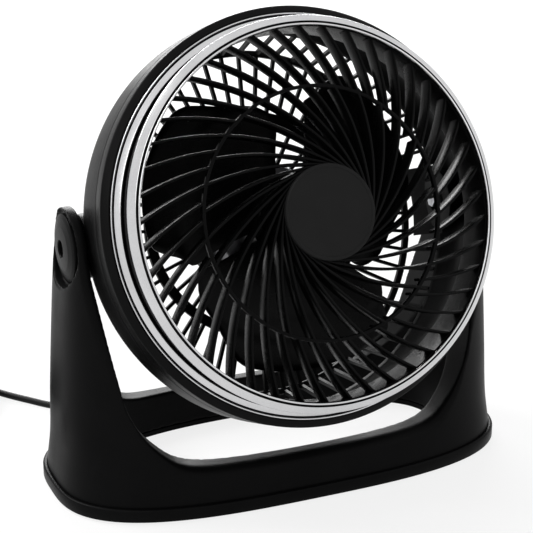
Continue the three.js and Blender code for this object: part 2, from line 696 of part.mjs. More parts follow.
// Outer walls: share of the pivot height, and how far in from the foot's outline.
const FLANKS = [
  [0, 2.5, 2.5], [0.06, 2.5, 2.5], [0.2, 5.1, 6.5], [0.4, 7.1, 11], [0.86, 10.3, 14],
  [1.17, FLARE + 2.4, 15.5],
];
const shellBottom = FOOT_LIFT + FOOT_FLOOR + GAP;

function flanks(inset) {
  const sections = FLANKS.map(([share, side, face], i) => [
    i === 0 ? shellBottom - inset : share * PIVOT_HEIGHT,
    footHalfWidth - side - inset, footHalfDepth - face - inset,
  ]);
  return loft(sections, FOOT_POWER, inset ? 28 : 44);
}

// The U between the uprights, seen from the front, cut straight through.
function archCut(outset) {
  const top = PIVOT_HEIGHT * 1.3;
  const right = ARCH.map(([side, drop]) =>
    new THREE.Vector2(pivotFace - side + outset, PIVOT_HEIGHT - drop - outset * (drop / 118)));
  const barMiddle = [
    new THREE.Vector2(footHalfWidth * 0.43, BAR_TOP + 1.8 - outset),
    new THREE.Vector2(0, BAR_TOP - outset),
  ];
  const half = [...right, ...barMiddle];
  const mirrored = half.slice(0, -1).reverse().map((p) => new THREE.Vector2(-p.x, p.y));
  const outline = new THREE.Shape();
  outline.moveTo(-pivotFace - outset, top);
  outline.lineTo(pivotFace + outset, top);
  outline.lineTo(half[0].x, half[0].y);
  outline.splineThru([...half.slice(1), ...mirrored]);
  outline.closePath();
  return solid(extruded(outline, 2 * footHalfWidth, outset ? 1 : 2), alongY)
    .translate([0, footHalfWidth, 0]);
}

// Side view of the stand: round heads on legs that widen into the foot.
function sideCut(inset, top) {
  const r = HEAD_ROUND_R - inset;
  const lean = Math.atan(SIDE_SLOPE);
  const legY = (z) => r / Math.cos(lean) + SIDE_SLOPE * (PIVOT_HEIGHT - z);
  const wide = footHalfDepth + 5;
  const knee = BAR_TOP + KNEE_RISE;
  const outline = new THREE.Shape();
  outline.moveTo(-wide, -1);
  outline.lineTo(wide, -1);
  outline.lineTo(wide, BAR_TOP);
  outline.quadraticCurveTo(legY(knee) + 1, BAR_TOP + 6, legY(knee), knee);
  if (top < PIVOT_HEIGHT) {
    outline.lineTo(legY(top), top);
    outline.lineTo(-legY(top), top);
  } else {
    outline.absarc(0, PIVOT_HEIGHT, r, lean, Math.PI - lean);
  }
  outline.lineTo(-legY(knee), knee);
  outline.quadraticCurveTo(-legY(knee) - 1, BAR_TOP + 6, -wide, BAR_TOP);
  outline.closePath();
  const width = 2 * (footHalfWidth + NOTCH_PAST);
  return solid(extruded(outline, width, inset ? 3 : 6), alongX).translate([-width / 2, 0, 0]);
}

const holeHalfWidth = footHalfWidth - HOLE_SIDE;
const holeHalfDepth = footHalfDepth - 6.5 - BAR_WIDTH + 0.7;
const holeCut = (outset, from, to) => loft([
  [from, holeHalfWidth + outset, holeHalfDepth + outset],
  [to, holeHalfWidth + outset, holeHalfDepth + outset],
], HOLE_POWER, 28);

// Pocket for the cap and bore for its stub, about the pivot axis.
function pivotCut(side) {
  const seat = capBack - GAP;
  const mouth = outerFace + 3;
  const cone = turned([
    [0, seat], [CAP_R + GAP, seat], [CAP_R + GAP, capRim + GAP],
    [CAP_R + GAP + POCKET_FLARE, mouth], [0, mouth],
  ], 18);
  const bore = rod(STUB_R + GAP, pivotFace - 5, seat + 1)
    .add(rod(WASHER_R + 0.8, pivotFace - 5, pivotFace, SMALL_ROUND + 4));
  const out = new THREE.Matrix4().makeRotationY((side * Math.PI) / 2);
  return solid(geometryOf(cone.add(bore)), place(0, 0, PIVOT_HEIGHT).multiply(out));
}

const screwSpots = [
  [footHalfWidth - 9.4, 0], [-footHalfWidth + 9.4, 0],
  [0, (footHalfDepth + holeHalfDepth) / 2 - 1.2], [0, -(footHalfDepth + holeHalfDepth) / 2 + 1.2],
];
const screwBossTop = 14;
const glandWallY = footHalfDepth - GLAND_WALL_SET_IN;
const glandStart = glandWallY - 4;
const toBack = alongY.clone().premultiply(new THREE.Matrix4().makeRotationZ(Math.PI))
  .setPosition(GLAND_X, 0, GLAND_Z);

function standShell() {
  const outside = flanks(0).intersect(sideCut(0, PIVOT_HEIGHT));
  const body = outside.subtract(archCut(0)).subtract(holeCut(0, -1, PIVOT_HEIGHT * 0.58));
  const hollow = flanks(STAND_WALL)
    .intersect(sideCut(STAND_WALL, PIVOT_HEIGHT - CAVITY_TOP_DROP))
    .subtract(archCut(STAND_WALL))
    .subtract(holeCut(STAND_WALL, -3, PIVOT_HEIGHT));
  const bosses = screwSpots.map(([x, y]) =>
    rod(x ? 5 : 5.8, shellBottom, screwBossTop, 12).translate([x, y, 0]));
  const bores = screwSpots.map(([x, y]) =>
    rod(1.8, shellBottom - 1, screwBossTop - 2, SCREW_ROUND).translate([x, y, 0]));
  const glandBore = rod(GLAND_R - 1.2 + GAP, glandStart - 3, glandStart + GLAND_LENGTH + NOTCH_PAST, 12);
  const gland = solid(geometryOf(glandBore), toBack);
  return body.subtract(hollow).add(joined(bosses)).subtract(joined(bores))
    .subtract(pivotCut(1)).subtract(pivotCut(-1)).subtract(gland);
}

// Foot plate with its skirt, pockets for the pads and counterbores for the screws.
function basePlate() {
  const a = footHalfWidth;
  const b = footHalfDepth;
  const top = FOOT_HEIGHT;
  const outside = loft([
    [FOOT_LIFT, a - 0.8, b - 0.8], [FOOT_LIFT + 1, a, b], [top - 0.9, a, b], [top, a - 0.9, b - 0.9],
  ], FOOT_POWER, 44);
  const pocketFloor = FOOT_LIFT + FOOT_FLOOR;
  const tray = loft([
    [pocketFloor, a - SKIRT_WALL, b - SKIRT_WALL], [top + 1, a - SKIRT_WALL, b - SKIRT_WALL],
  ], FOOT_POWER, 44);
  const pads = padSpots().map(([x, y]) =>
    rod(PAD_R + GAP, -1, PAD_HEIGHT + GAP, 12).translate([x, y, 0]));
  const screws = screwSpots.map(([x, y]) =>
    rod(3.9, 0, FOOT_LIFT + 1.6, SCREW_ROUND).add(rod(1.8, 0, top, SCREW_ROUND)).translate([x, y, 0]));
  return outside.subtract(tray).subtract(holeCut(0, -1, top + 2))
    .subtract(joined([...pads, ...screws]));
}

function padSpots() {
  const x = footHalfWidth - PAD_SIDE;
  const y = footHalfDepth - PAD_FACE;
  return [[x, y], [-x, y], [-x, -y], [x, -y]];
}

const rubberPad = () => turned([
  [0, 0], [PAD_R - 0.8, 0], [PAD_R, 0.8], [PAD_R, PAD_HEIGHT], [0, PAD_HEIGHT],
], 12);

function baseScrew() {
  const seat = FOOT_LIFT + 1.6 - GAP;
  return turned([
    [0, FOOT_LIFT + 0.2], [3.5, FOOT_LIFT + 0.2], [3.5, seat], [1.5, seat],
    [1.5, screwBossTop - 3], [0, screwBossTop - 3],
  ], SCREW_ROUND);
}

// ---------------------------------------------------------------- pivot pieces, along +X
function pivotCap() {
  const bore = PIVOT_SCREW_R + GAP;
  const crown = capRim + CAP_CROWN;
  const wellR = PIVOT_HEAD_R + 0.6;
  return turned([
    [bore, socketFloor + GAP], [STUB_R, socketFloor + GAP], [STUB_R, capBack], [CAP_R, capBack],
    [CAP_R, capRim], [CAP_R * 0.62, crown - 0.6], [wellR, crown], [wellR, headSeat],
    [bore, headSeat],
  ], 18);
}

const bossBackX = socketFloor - BOSS_FLOOR;

function pivotScrew() {
  const seat = headSeat + GAP;
  const end = bossBackX - GAP - PIVOT_NUT_DEPTH - 0.8;
  return turned([
    [0, end], [PIVOT_SCREW_R, end], [PIVOT_SCREW_R, seat], [PIVOT_HEAD_R, seat],
    [PIVOT_HEAD_R, seat + 2], [PIVOT_HEAD_R - 1.2, seat + 2.8], [0, seat + 2.8],
  ], 12);
}

function pivotNut() {
  const face = bossBackX - GAP;
  return tubeSolid(PIVOT_NUT_R, PIVOT_SCREW_R + GAP, face - PIVOT_NUT_DEPTH, face, 6);
}

const frictionWasher = () =>
  tubeSolid(WASHER_R, STUB_R + GAP, bossFace + GAP, pivotFace - GAP, SMALL_ROUND);

// ---------------------------------------------------------------- mains lead
const cordFloor = CORD_D / 2 + 0.05;
const glandEnd = glandStart + 4 + GLAND_LENGTH;
const plugAxisX = -183;
const plugTailY = 86;

function cordGland() {
  const neck = GLAND_R - 1.2;
  const bore = CORD_D / 2 - 0.3;
  const seat = glandWallY + 2.4;
  return turned([
    [bore, glandStart], [neck, glandStart], [neck, seat], [GLAND_R, seat], [GLAND_R, seat + 2.5],
    [CORD_D / 2 + 0.7, glandEnd], [bore, glandEnd],
  ], 12);
}

function cordTube(points, steps) {
  const curve = new THREE.CatmullRomCurve3(points.map((p) => new THREE.Vector3(...p)));
  const section = new THREE.Shape();
  section.absarc(0, 0, CORD_D / 2, 0, 2 * Math.PI);
  return solid(new THREE.ExtrudeGeometry(section, {
    steps, curveSegments: 4, extrudePath: curve, bevelEnabled: false,
  }));
}

// Centre line of the coil: layer by layer in and out, climbing in the half turn at each end.
const coilTurns = COIL_FULL_TURNS + (COIL_END - COIL_START) / 360;

function coilPoint(turns) {
  const layerTurns = coilTurns / COIL_LAYERS;
  const layer = Math.min(COIL_LAYERS - 1, Math.floor(turns / layerTurns));
  const done = turns / layerTurns - layer;
  const inward = layer % 2 === 0 ? 1 - 2 * done : 2 * done - 1;
  const r = COIL_MIDDLE_R + COIL_SPREAD * inward;
  let height = layer;
  const sinceStart = done * layerTurns;
  const beforeEnd = (1 - done) * layerTurns;
  if (layer > 0 && sinceStart < 0.25) height -= 0.5 - sinceStart * 2;
  if (layer < COIL_LAYERS - 1 && beforeEnd < 0.25) height += 0.5 - beforeEnd * 2;
  const angle = rad(COIL_START) + 2 * Math.PI * turns;
  return new THREE.Vector3(
    COIL_X + r * Math.cos(angle), COIL_Y + r * Math.sin(angle), cordFloor + COIL_PITCH * height);
}

function coilLine() {
  const count = Math.round(coilTurns * LOOP_STEPS);
  const points = Array.from({ length: count + 1 }, (_, i) => coilPoint((coilTurns * i) / count));
  const lead = points[0].clone().sub(points[1]).setZ(0).setLength(CORD_D);
  const tail = points[count].clone().sub(points[count - 1]).setZ(0).setLength(CORD_D);
  return [points[0].clone().add(lead), ...points, points[count].clone().add(tail)];
}

// Least gap between stretches of the coil that aren't neighbours along it.
function leastGap(points) {
  let least = Infinity;
  for (let i = 0; i < points.length; i += 1) {
    for (let j = i + LOOP_STEPS / 2; j < points.length; j += 1) {
      least = Math.min(least, points[i].distanceTo(points[j]));
    }
  }
  return least - CORD_D;
}

function coilSolid() {
  const line = coilLine();
  const rings = line.map((point, i) => {
    const along = line[Math.min(i + 1, line.length - 1)].clone().sub(line[Math.max(i - 1, 0)]);
    const side = new THREE.Vector3(along.y, -along.x, 0).normalize();
    const up = side.clone().cross(along.normalize());
    return Array.from({ length: LOOP_SIDES }, (_, k) => {
      const angle = (2 * Math.PI * (k + 0.5)) / LOOP_SIDES;
      return point.clone().addScaledVector(side, (CORD_D / 2) * Math.cos(angle))
        .addScaledVector(up, (CORD_D / 2) * Math.sin(angle));
    });
  });
  const positions = rings.flat().concat([line[0], line[line.length - 1]]).flatMap((v) => v.toArray());
  const index = [];
  const first = rings.length * LOOP_SIDES;
  for (let i = 0; i < rings.length - 1; i += 1) {
    for (let k = 0; k < LOOP_SIDES; k += 1) {
      const a = i * LOOP_SIDES + k;
      const b = i * LOOP_SIDES + ((k + 1) % LOOP_SIDES);
      index.push(a, b, a + LOOP_SIDES, b, b + LOOP_SIDES, a + LOOP_SIDES);
    }
  }
  for (let k = 0; k < LOOP_SIDES; k += 1) {
    const next = (k + 1) % LOOP_SIDES;
    index.push(first, next, k);
    index.push(first + 1, first - LOOP_SIDES + k, first - LOOP_SIDES + next);
  }
  const geometry = new THREE.BufferGeometry();
  geometry.setAttribute('position', new THREE.Float32BufferAttribute(positions, 3));
  geometry.setIndex(index);
  console.log(`coil: least gap to itself ${leastGap(line).toFixed(2)} mm`);
  return solid(geometry);
}

// Lead from the strain relief down to the floor and out to the coil.
function leadPoints() {
  const line = coilLine();
  const end = line[0];
  const back = end.clone().sub(line[1]).setLength(1);
  const near = (d) => end.clone().addScaledVector(back, d).toArray();
  return [
    [GLAND_X, glandEnd + GAP, GLAND_Z], [GLAND_X, glandEnd + 5, GLAND_Z],
    [-97.7, 95.5, 12.6], [-100.4, 102, 8], [-105.2, 108.6, 3.6], [-111.2, 116, cordFloor],
    [-121.3, 128.2, cordFloor], [-131, 140.5, cordFloor], near(10), near(GAP),
  ];
}

function tailPoints() {
  const line = coilLine();
  const start = line[line.length - 1];
  const out = start.clone().sub(line[line.length - 2]).setLength(1);
  const off = (d) => start.clone().addScaledVector(out, d).toArray();
  const plugZ = PLUG_HEIGHT / 2;
  return [
    off(GAP), off(6), [-188.4, 106.5, 12.6], [-184.2, 97, 8.6],
    [plugAxisX, plugTailY + 6, plugZ], [plugAxisX, plugTailY + GAP, plugZ],
  ];
}

// Flat two-pin plug lying on the floor with its pins forward.
function plugBody() {
  const neck = plugTailY;
  const front = plugTailY - PLUG_LENGTH;
  const half = PLUG_WIDTH / 2;
  const outline = new THREE.Shape();
  outline.moveTo(-4.6, neck);
  outline.lineTo(4.6, neck);
  outline.bezierCurveTo(6.5, neck - 12, half, neck - 8, half, neck - 20);
  outline.lineTo(half - 2, front);
  outline.lineTo(-half + 2, front);
  outline.lineTo(-half, neck - 20);
  outline.bezierCurveTo(-half, neck - 8, -6.5, neck - 12, -4.6, neck);
  const body = solid(extruded(outline, PLUG_HEIGHT - 0.2, 4)).translate([plugAxisX, 0, 0.1]);
  const holes = [-1, 1].map((side) => pinSolid(side, PIN_R + GAP, front + 6, front - 1));
  return body.subtract(joined(holes));
}

function pinSolid(side, radius, from, to) {
  const pin = new THREE.CylinderGeometry(radius, radius, from - to, 12);
  return solid(pin, place(plugAxisX + (side * PIN_SPACING) / 2, (from + to) / 2, PLUG_HEIGHT / 2));
}

const plugPin = (side) =>
  pinSolid(side, PIN_R, plugTailY - PLUG_LENGTH + 6 - GAP, plugTailY - PLUG_LENGTH - PIN_LENGTH);

// ---------------------------------------------------------------- assembly
const fan = new THREE.Group();
const head = new THREE.Group();
head.position.set(0, 0, PIVOT_HEIGHT);
head.rotation.x = rad(90 - TILT);
fan.add(head);

function add(parent, name, shape, material, matrix) {
  const mesh = new THREE.Mesh(geometryOf(shape), material.clone());
  mesh.name = name;
  if (matrix) matrix.decompose(mesh.position, mesh.quaternion, mesh.scale);
  parent.add(mesh);
  return mesh;
}

const toSide = (side) => place(0, 0, PIVOT_HEIGHT).multiply(
  new THREE.Matrix4().makeRotationY((side * Math.PI) / 2));

add(fan, 'stand_shell', standShell(), standPlastic);
add(fan, 'base_plate', basePlate(), standPlastic);
padSpots().forEach(([x, y], i) =>
  add(fan, `rubber_foot_${i + 1}`, rubberPad(), rubber, place(x, y, 0)));
screwSpots.forEach(([x, y], i) =>
  add(fan, `base_screw_${i + 1}`, baseScrew(), steel, place(x, y, 0)));
for (const [side, label] of [[-1, 'left'], [1, 'right']]) {
  add(fan, `pivot_cap_${label}`, pivotCap(), standPlastic, toSide(side));
  add(fan, `pivot_screw_${label}`, pivotScrew(), steel, toSide(side));
  add(fan, `pivot_nut_${label}`, pivotNut(), steel, toSide(side));
  add(fan, `friction_washer_${label}`, frictionWasher(), rubber, toSide(side));
}

add(head, 'housing_shell', housingShell(), blackPlastic);
add(head, 'front_bezel', frontBezel(), blackPlastic);
add(head, 'rear_trim_ring', rearTrimRing(), chrome);
add(head, 'front_trim_ring', frontTrimRing(), chrome);
add(head, 'front_grille', frontGrille(), blackPlastic);
add(head, 'hub_badge', hubBadge(), badgePlastic);
add(head, 'rear_grille', rearGrille(), blackPlastic);
add(head, 'motor_shell', motorShell(), steel);
add(head, 'motor_end_cap', motorEndCap(), steel);
add(head, 'motor_stator', stator(), copper);
add(head, 'bearing_rear', bearing(rearBearingBack), steel);
add(head, 'bearing_front', bearing(frontBearingBack), steel);
around(3, motorScrew().translate([MOTOR_SCREWS_R, 0, 0]), MOTOR_SCREW_FIRST).forEach((screw, i) =>
  add(head, `motor_screw_${i + 1}`, screw, steel));
add(head, 'switch_body', switchBody(), blackPlastic);
add(head, 'rear_cover', rearCover(), blackPlastic);
around(3, coverScrew().translate([COVER_SCREWS_R, 0, 0]), COVER_SCREW_FIRST).forEach((screw, i) =>
  add(head, `cover_screw_${i + 1}`, screw, steel));
add(head, 'speed_knob', speedKnob(), blackPlastic);
add(head, 'motor_shaft', motorShaft(), steel);
add(head, 'motor_rotor', rotor(), steel);
add(head, 'impeller', impeller(), blackPlastic);
add(head, 'impeller_nut', impellerNut(), blackPlastic);

const cordPieces = [
  add(fan, 'cord_gland', cordGland(), rubber, toBack),
  add(fan, 'cord_lead', cordTube(leadPoints(), 16), cable),
  add(fan, 'cord_coil', coilSolid(), cable),
  add(fan, 'cord_tail', cordTube(tailPoints(), 7), cable),
  add(fan, 'plug_body', plugBody(), rubber),
  add(fan, 'plug_pin_left', plugPin(-1), steel),
  add(fan, 'plug_pin_right', plugPin(1), steel),
];

// The origin is under the middle of the fan itself, without its lead.
const box = new THREE.Box3();
fan.updateMatrixWorld(true);
fan.traverse((piece) => {
  if (piece.isMesh && !cordPieces.includes(piece)) box.expandByObject(piece, true);
});
fan.position.y = -(box.min.y + box.max.y) / 2;
fan.updateMatrixWorld(true);

export default fan;
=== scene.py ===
"""Looks for the air circulator: a drum head with a spiral guard on a low U-shaped stand.

Lengths are in millimetres until a piece is placed, and places make them metres. The head's
own frame has X to the right, Y up and Z forward along the fan's axis, from the pivot.
"""

import json
import math
from functools import partialmethod

import bmesh
import bpy
import numpy as np
from mathutils import Matrix, Vector


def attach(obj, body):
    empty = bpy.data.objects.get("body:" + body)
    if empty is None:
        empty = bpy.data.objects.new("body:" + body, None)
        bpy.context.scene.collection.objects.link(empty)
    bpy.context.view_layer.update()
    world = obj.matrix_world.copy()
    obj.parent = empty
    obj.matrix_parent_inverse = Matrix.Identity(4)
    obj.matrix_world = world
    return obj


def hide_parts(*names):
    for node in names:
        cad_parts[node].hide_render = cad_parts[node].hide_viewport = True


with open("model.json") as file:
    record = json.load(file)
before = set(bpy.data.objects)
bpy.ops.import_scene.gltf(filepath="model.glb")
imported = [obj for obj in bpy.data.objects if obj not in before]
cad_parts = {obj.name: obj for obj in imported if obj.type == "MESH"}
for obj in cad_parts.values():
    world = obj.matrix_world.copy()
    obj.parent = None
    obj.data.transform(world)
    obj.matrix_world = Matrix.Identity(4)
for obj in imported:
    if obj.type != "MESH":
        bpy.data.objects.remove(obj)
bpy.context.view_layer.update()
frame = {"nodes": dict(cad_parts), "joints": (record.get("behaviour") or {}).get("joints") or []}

# ------------------------------------------------------------------ places
MM = 0.001
TILT = math.radians(20)
joints = {joint["name"]: joint for joint in frame["joints"]}
pivot = Vector(joints["head_tilt"]["pos_m"])
PIVOT_HEIGHT = pivot.z / MM

across = Vector((1, 0, 0))
upward = Vector((0, math.sin(TILT), math.cos(TILT)))
forward = Vector((0, -math.cos(TILT), math.sin(TILT)))
MILLIMETRES = Matrix.Scale(MM, 4)
HEAD = Matrix.Translation(pivot) @ Matrix((across, upward, forward)).transposed().to_4x4() @ MILLIMETRES
STAND = Matrix.Translation((0, pivot.y, 0)) @ MILLIMETRES


def shift(x, y, z):
    return Matrix.Translation((x, y, z))


def spin(degrees, axis="Z"):
    return Matrix.Rotation(math.radians(degrees), 4, axis)


def facing(side):
    """Turns Z to +X or -X."""
    return spin(90 * side, "Y")


def beside(side):
    """Local Z runs out of the pivot along +X or -X."""
    return Matrix.Translation(pivot) @ facing(side) @ MILLIMETRES


def linked(name, data):
    """A new object in the scene."""
    made = bpy.data.objects.new(name, data)
    bpy.context.scene.collection.objects.link(made)
    return made


def aimed(holder, place, aim):
    """Puts a camera or a lamp at a place and turns it towards a point."""
    holder.location = place
    holder.rotation_mode = "QUATERNION"
    holder.rotation_quaternion = (Vector(aim) - Vector(place)).to_track_quat("-Z", "Y")


def numbered(name, count):
    return [f"{name}_{k + 1}" for k in range(count)]


# ------------------------------------------------------------------ camera
eye = Vector((-0.3621, -0.8345 + pivot.y, 0.4490))
target = Vector((-0.0057, -0.00255 + pivot.y, 0.12384))
camera = linked("camera", bpy.data.cameras.new("camera"))
camera.data.lens = 108.76
camera.data.sensor_width = 36
camera.data.clip_start = 0.05
camera.data.clip_end = 30
aimed(camera, eye, target)
bpy.context.scene.camera = camera


# ------------------------------------------------------------------ shader and node values
class Value:
    """A node's output socket that takes part in arithmetic. Each operation adds its node."""

    def __init__(self, tree, socket):
        self.tree = tree
        self.socket = socket

    def math(self, operation, *others):
        return add_node(self.tree, "ShaderNodeMath", dict(enumerate((self, *others))),
                        operation=operation)

    def swapped(self, operation, other):
        return add_node(self.tree, "ShaderNodeMath", {0: other, 1: self}, operation=operation)

    __add__ = __radd__ = partialmethod(math, "ADD")
    __mul__ = __rmul__ = partialmethod(math, "MULTIPLY")
    __sub__ = partialmethod(math, "SUBTRACT")
    __rsub__ = partialmethod(swapped, "SUBTRACT")
    __truediv__ = partialmethod(math, "DIVIDE")
    __rtruediv__ = partialmethod(swapped, "DIVIDE")
    __pow__ = partialmethod(math, "POWER")

    def clipped(self):
        return self.math("MINIMUM", 1).math("MAXIMUM", 0)


def feed(tree, slot, value):
    """Links a value to a socket, or sets the socket to a plain number, colour or material."""
    if isinstance(value, Value):
        tree.links.new(value.socket, slot)
    elif value is not None:
        slot.default_value = value


def add_node(tree, kind, inputs=None, output=0, **settings):
    """A node of that type with its settings made first, then its sockets fed by name or place."""
    node = tree.nodes.new(kind)
    for name, value in settings.items():
        setattr(node, name, value)
    for name, value in (inputs or {}).items():
        feed(tree, node.inputs[name], value)
    return Value(tree, node.outputs[output])


class Finish:
    """A surface finish: a Principled shader and the patterns that vary it."""

    def __init__(self, name, **plain):
        self.material = bpy.data.materials.new(name)
        self.material.use_nodes = True
        self.tree = self.material.node_tree
        self.shader = self.tree.nodes["Principled BSDF"]
        self.place = add_node(self.tree, "ShaderNodeTexCoord", output="Object")
        self.set(**plain)

    def set(self, **values):
        for name, value in values.items():
            feed(self.tree, self.shader.inputs[name.replace("_", " ")], value)

    def noise(self, scale, detail=3, rough=0.55, vector=None):
        return add_node(self.tree, "ShaderNodeTexNoise", {
            "Vector": vector or self.place, "Scale": scale, "Detail": detail, "Roughness": rough})

    def stretched(self, scale):
        """Object coordinates pulled along the given axes, for a grain that runs one way."""
        return add_node(self.tree, "ShaderNodeMapping", {
            "Vector": self.place, "Scale": scale})

    def ranged(self, value, low, high, out_low, out_high):
        return add_node(self.tree, "ShaderNodeMapRange", {
            "Value": value, "From Min": low, "From Max": high,
            "To Min": out_low, "To Max": out_high}, clamp=True)

    def spread(self, noise, low=0, high=1):
        """The middle of a noise, where most of its values lie, spread from low to high."""
        return self.ranged(noise, 0.3, 0.7, low, high)

    def mixed(self, factor, first, second):
        return add_node(self.tree, "ShaderNodeMix", {0: factor, 6: first, 7: second}, output=2,
                        data_type="RGBA")

    def bump(self, height, strength, distance):
        return add_node(self.tree, "ShaderNodeBump", {
            "Height": height, "Strength": strength, "Distance": distance})


def grey(level, tint=0.0):
    return (level, level, level * (1 + tint), 1)


def moulded(name, dark, light, rough, grain, grain_depth, specular=0.3):
    """Moulded plastic: a fine grain, slow changes of gloss and faint handling marks."""
    finish = Finish(name, Specular_IOR_Level=specular)
    cloud = finish.noise(28, 4)
    fine = finish.noise(grain, 2, 0.6)
    scuff = finish.noise(160, 5, 0.7, finish.stretched((1, 1, 0.25)))
    marks = finish.ranged(scuff, 0.6, 0.78, 0, 1)
    colour = finish.mixed(finish.spread(cloud), grey(dark, 0.03), grey(light, 0.03))
    finish.set(Base_Color=finish.mixed(marks * 0.35, colour, grey(light * 1.8)))
    finish.set(Roughness=finish.spread(cloud, rough - 0.05, rough + 0.05) + fine * 0.06 + marks * 0.08)
    finish.set(Normal=finish.bump(fine, 0.25, grain_depth))
    return finish.material


def bright_metal(name, colour, rough_low, rough_high, stretch=(1, 1, 1)):
    """Plated metal with a faint haze, which the stretch draws out into a grain."""
    finish = Finish(name, Metallic=1.0)
    haze = finish.noise(35, 4, 0.6, finish.stretched(stretch))
    fine = finish.noise(900, 2, 0.5, finish.stretched(stretch))
    speckle = finish.ranged(finish.noise(2600, 2, 0.6), 0.35, 0.65, 0, 1)
    shade = (finish.spread(haze) * 0.5 + speckle * 0.5).clipped()
    darker = tuple(0.8 * c for c in colour)
    finish.set(Base_Color=finish.mixed(shade, (*darker, 1), (*colour, 1)))
    finish.set(Roughness=finish.spread(haze, rough_low, rough_high))
    finish.set(Normal=finish.bump(fine, 0.05, 0.00002))
    return finish.material


def soft_rubber(name, level, rough):
    """Dull rubber or cord sheath with a powdery surface."""
    finish = Finish(name, Specular_IOR_Level=0.12)
    cloud = finish.noise(60, 4)
    fine = finish.noise(1500, 3, 0.7)
    finish.set(Base_Color=finish.mixed(finish.spread(cloud), grey(level * 0.75), grey(level * 1.3)))
    finish.set(Roughness=rough + fine * 0.12)
    finish.set(Normal=finish.bump(fine, 0.3, 0.00006))
    return finish.material


def disc_finish(name):
    """Satin charcoal with the fine concentric turning lines of a moulded badge plate."""
    finish = Finish(name, Specular_IOR_Level=0.1)
    kind = "ShaderNodeVectorMath"
    split = add_node(finish.tree, kind, {0: finish.place, 1: pivot}, operation="SUBTRACT")
    split = add_node(finish.tree, kind, {0: split, 1: forward}, operation="CROSS_PRODUCT")
    radius = add_node(finish.tree, kind, {0: split}, output="Value", operation="LENGTH")
    lines = (radius * 9000).math("SINE") * 0.5 + 0.5
    cloud = finish.noise(45, 4)
    finish.set(Base_Color=finish.mixed(finish.spread(cloud), grey(0.0080), grey(0.0110)))
    finish.set(Roughness=0.52 + lines * 0.05 + cloud * 0.08)
    finish.set(Normal=finish.bump(lines, 0.12, 0.00003))
    return finish.material


def winding_finish(name):
    """Enamelled copper in fine turns."""
    finish = Finish(name, Metallic=0.7)
    turns = add_node(finish.tree, "ShaderNodeTexWave", {
        "Vector": finish.place, "Scale": 420, "Distortion": 1.5, "Detail": 2}, output="Fac")
    finish.set(Base_Color=finish.mixed(turns, (0.20, 0.065, 0.022, 1), (0.42, 0.15, 0.05, 1)))
    finish.set(Roughness=0.34 + turns * 0.15)
    finish.set(Normal=finish.bump(turns, 0.6, 0.0002))
    return finish.material


finishes = {
    "stand": moulded("stand_plastic", 0.0026, 0.0038, 0.35, 1300, 0.00030, 0.036),
    "shell": moulded("drum_plastic", 0.0028, 0.0040, 0.34, 1300, 0.00028, 0.058),
    "guard": moulded("guard_plastic", 0.0018, 0.0028, 0.22, 2300, 0.00004, 0.045),
    "blade": moulded("blade_plastic", 0.0018, 0.0030, 0.24, 1500, 0.00004, 0.09),
    "cover": moulded("cover_plastic", 0.0030, 0.0044, 0.42, 1500, 0.00018, 0.06),
    "disc": disc_finish("badge_plastic"),
    "chrome": bright_metal("trim_chrome", (0.66, 0.66, 0.67), 0.12, 0.24),
    "zinc": bright_metal("zinc_plate", (0.52, 0.53, 0.55), 0.26, 0.40, (1, 1, 6)),
    "motor": bright_metal("motor_steel", (0.20, 0.20, 0.21), 0.36, 0.50, (1, 5, 5)),
    "nickel": bright_metal("pin_nickel", (0.66, 0.64, 0.60), 0.16, 0.26),
    "winding": winding_finish("copper_winding"),
    "rubber": soft_rubber("foot_rubber", 0.008, 0.72),
    "cable": soft_rubber("cable_sheath", 0.006, 0.48),
}


# ------------------------------------------------------------------ mesh helpers
def mesh_of(name, points, faces):
    mesh = bpy.data.meshes.new(name)
    mesh.from_pydata([tuple(p) for p in points], [], faces)
    mesh.validate()
    return mesh


def moved(mesh, place):
    mesh.transform(place)
    return mesh


def tidied(mesh, sharp=32):
    """Merges doubles, turns faces outwards, and shades smooth up to the given angle."""
    work = bmesh.new()
    work.from_mesh(mesh)
    bmesh.ops.remove_doubles(work, verts=work.verts, dist=1e-4)
    bmesh.ops.recalc_face_normals(work, faces=work.faces)
    work.to_mesh(mesh)
    work.free()
    mesh.shade_smooth()
    mesh.set_sharp_from_angle(angle=math.radians(sharp))
    return mesh


def joined(meshes):
    """Several meshes as one, in the order given."""
    work = bmesh.new()
    for mesh in meshes:
        work.from_mesh(mesh)
    whole = bpy.data.meshes.new(meshes[0].name)
    work.to_mesh(whole)
    work.free()
    return whole


def piece(name, mesh, place, finish, body, stands_for, sharp=32):
    """A finished piece: its mesh is put in place, and it rides on the body."""
    tidied(mesh, sharp)
    mesh.transform(place)
    mesh.materials.clear()
    mesh.materials.append(finishes[finish])
    mesh.polygons.foreach_set("material_index", [0] * len(mesh.polygons))
    shown = linked(name, mesh)
    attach(shown, body)
    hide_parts(*stands_for)
    return shown


def rounded(outline, segments=4, closed=True):
    """An outline of (radius, station) or (radius, station, corner radius) with its corners
    rounded. A corner radius of none stays sharp."""
    points = [Vector(p[:2]) for p in outline]
    sizes = [p[2] if len(p) > 2 else 0 for p in outline]
    result = []
    for i, here in enumerate(points):
        ends = not closed and i in (0, len(points) - 1)
        if ends or sizes[i] == 0:
            result.append(here)
            continue
        before = points[i - 1] - here
        after = points[(i + 1) % len(points)] - here
        half = before.angle(after) / 2
        reach = min(sizes[i] / math.tan(half), before.length * 0.49, after.length * 0.49)
        start = here + before.normalized() * reach
        stop = here + after.normalized() * reach
        for k in range(segments + 1):
            t = k / segments
            result.append(start * (1 - t) ** 2 + here * 2 * t * (1 - t) + stop * t ** 2)
    return [tuple(p) for p in result]


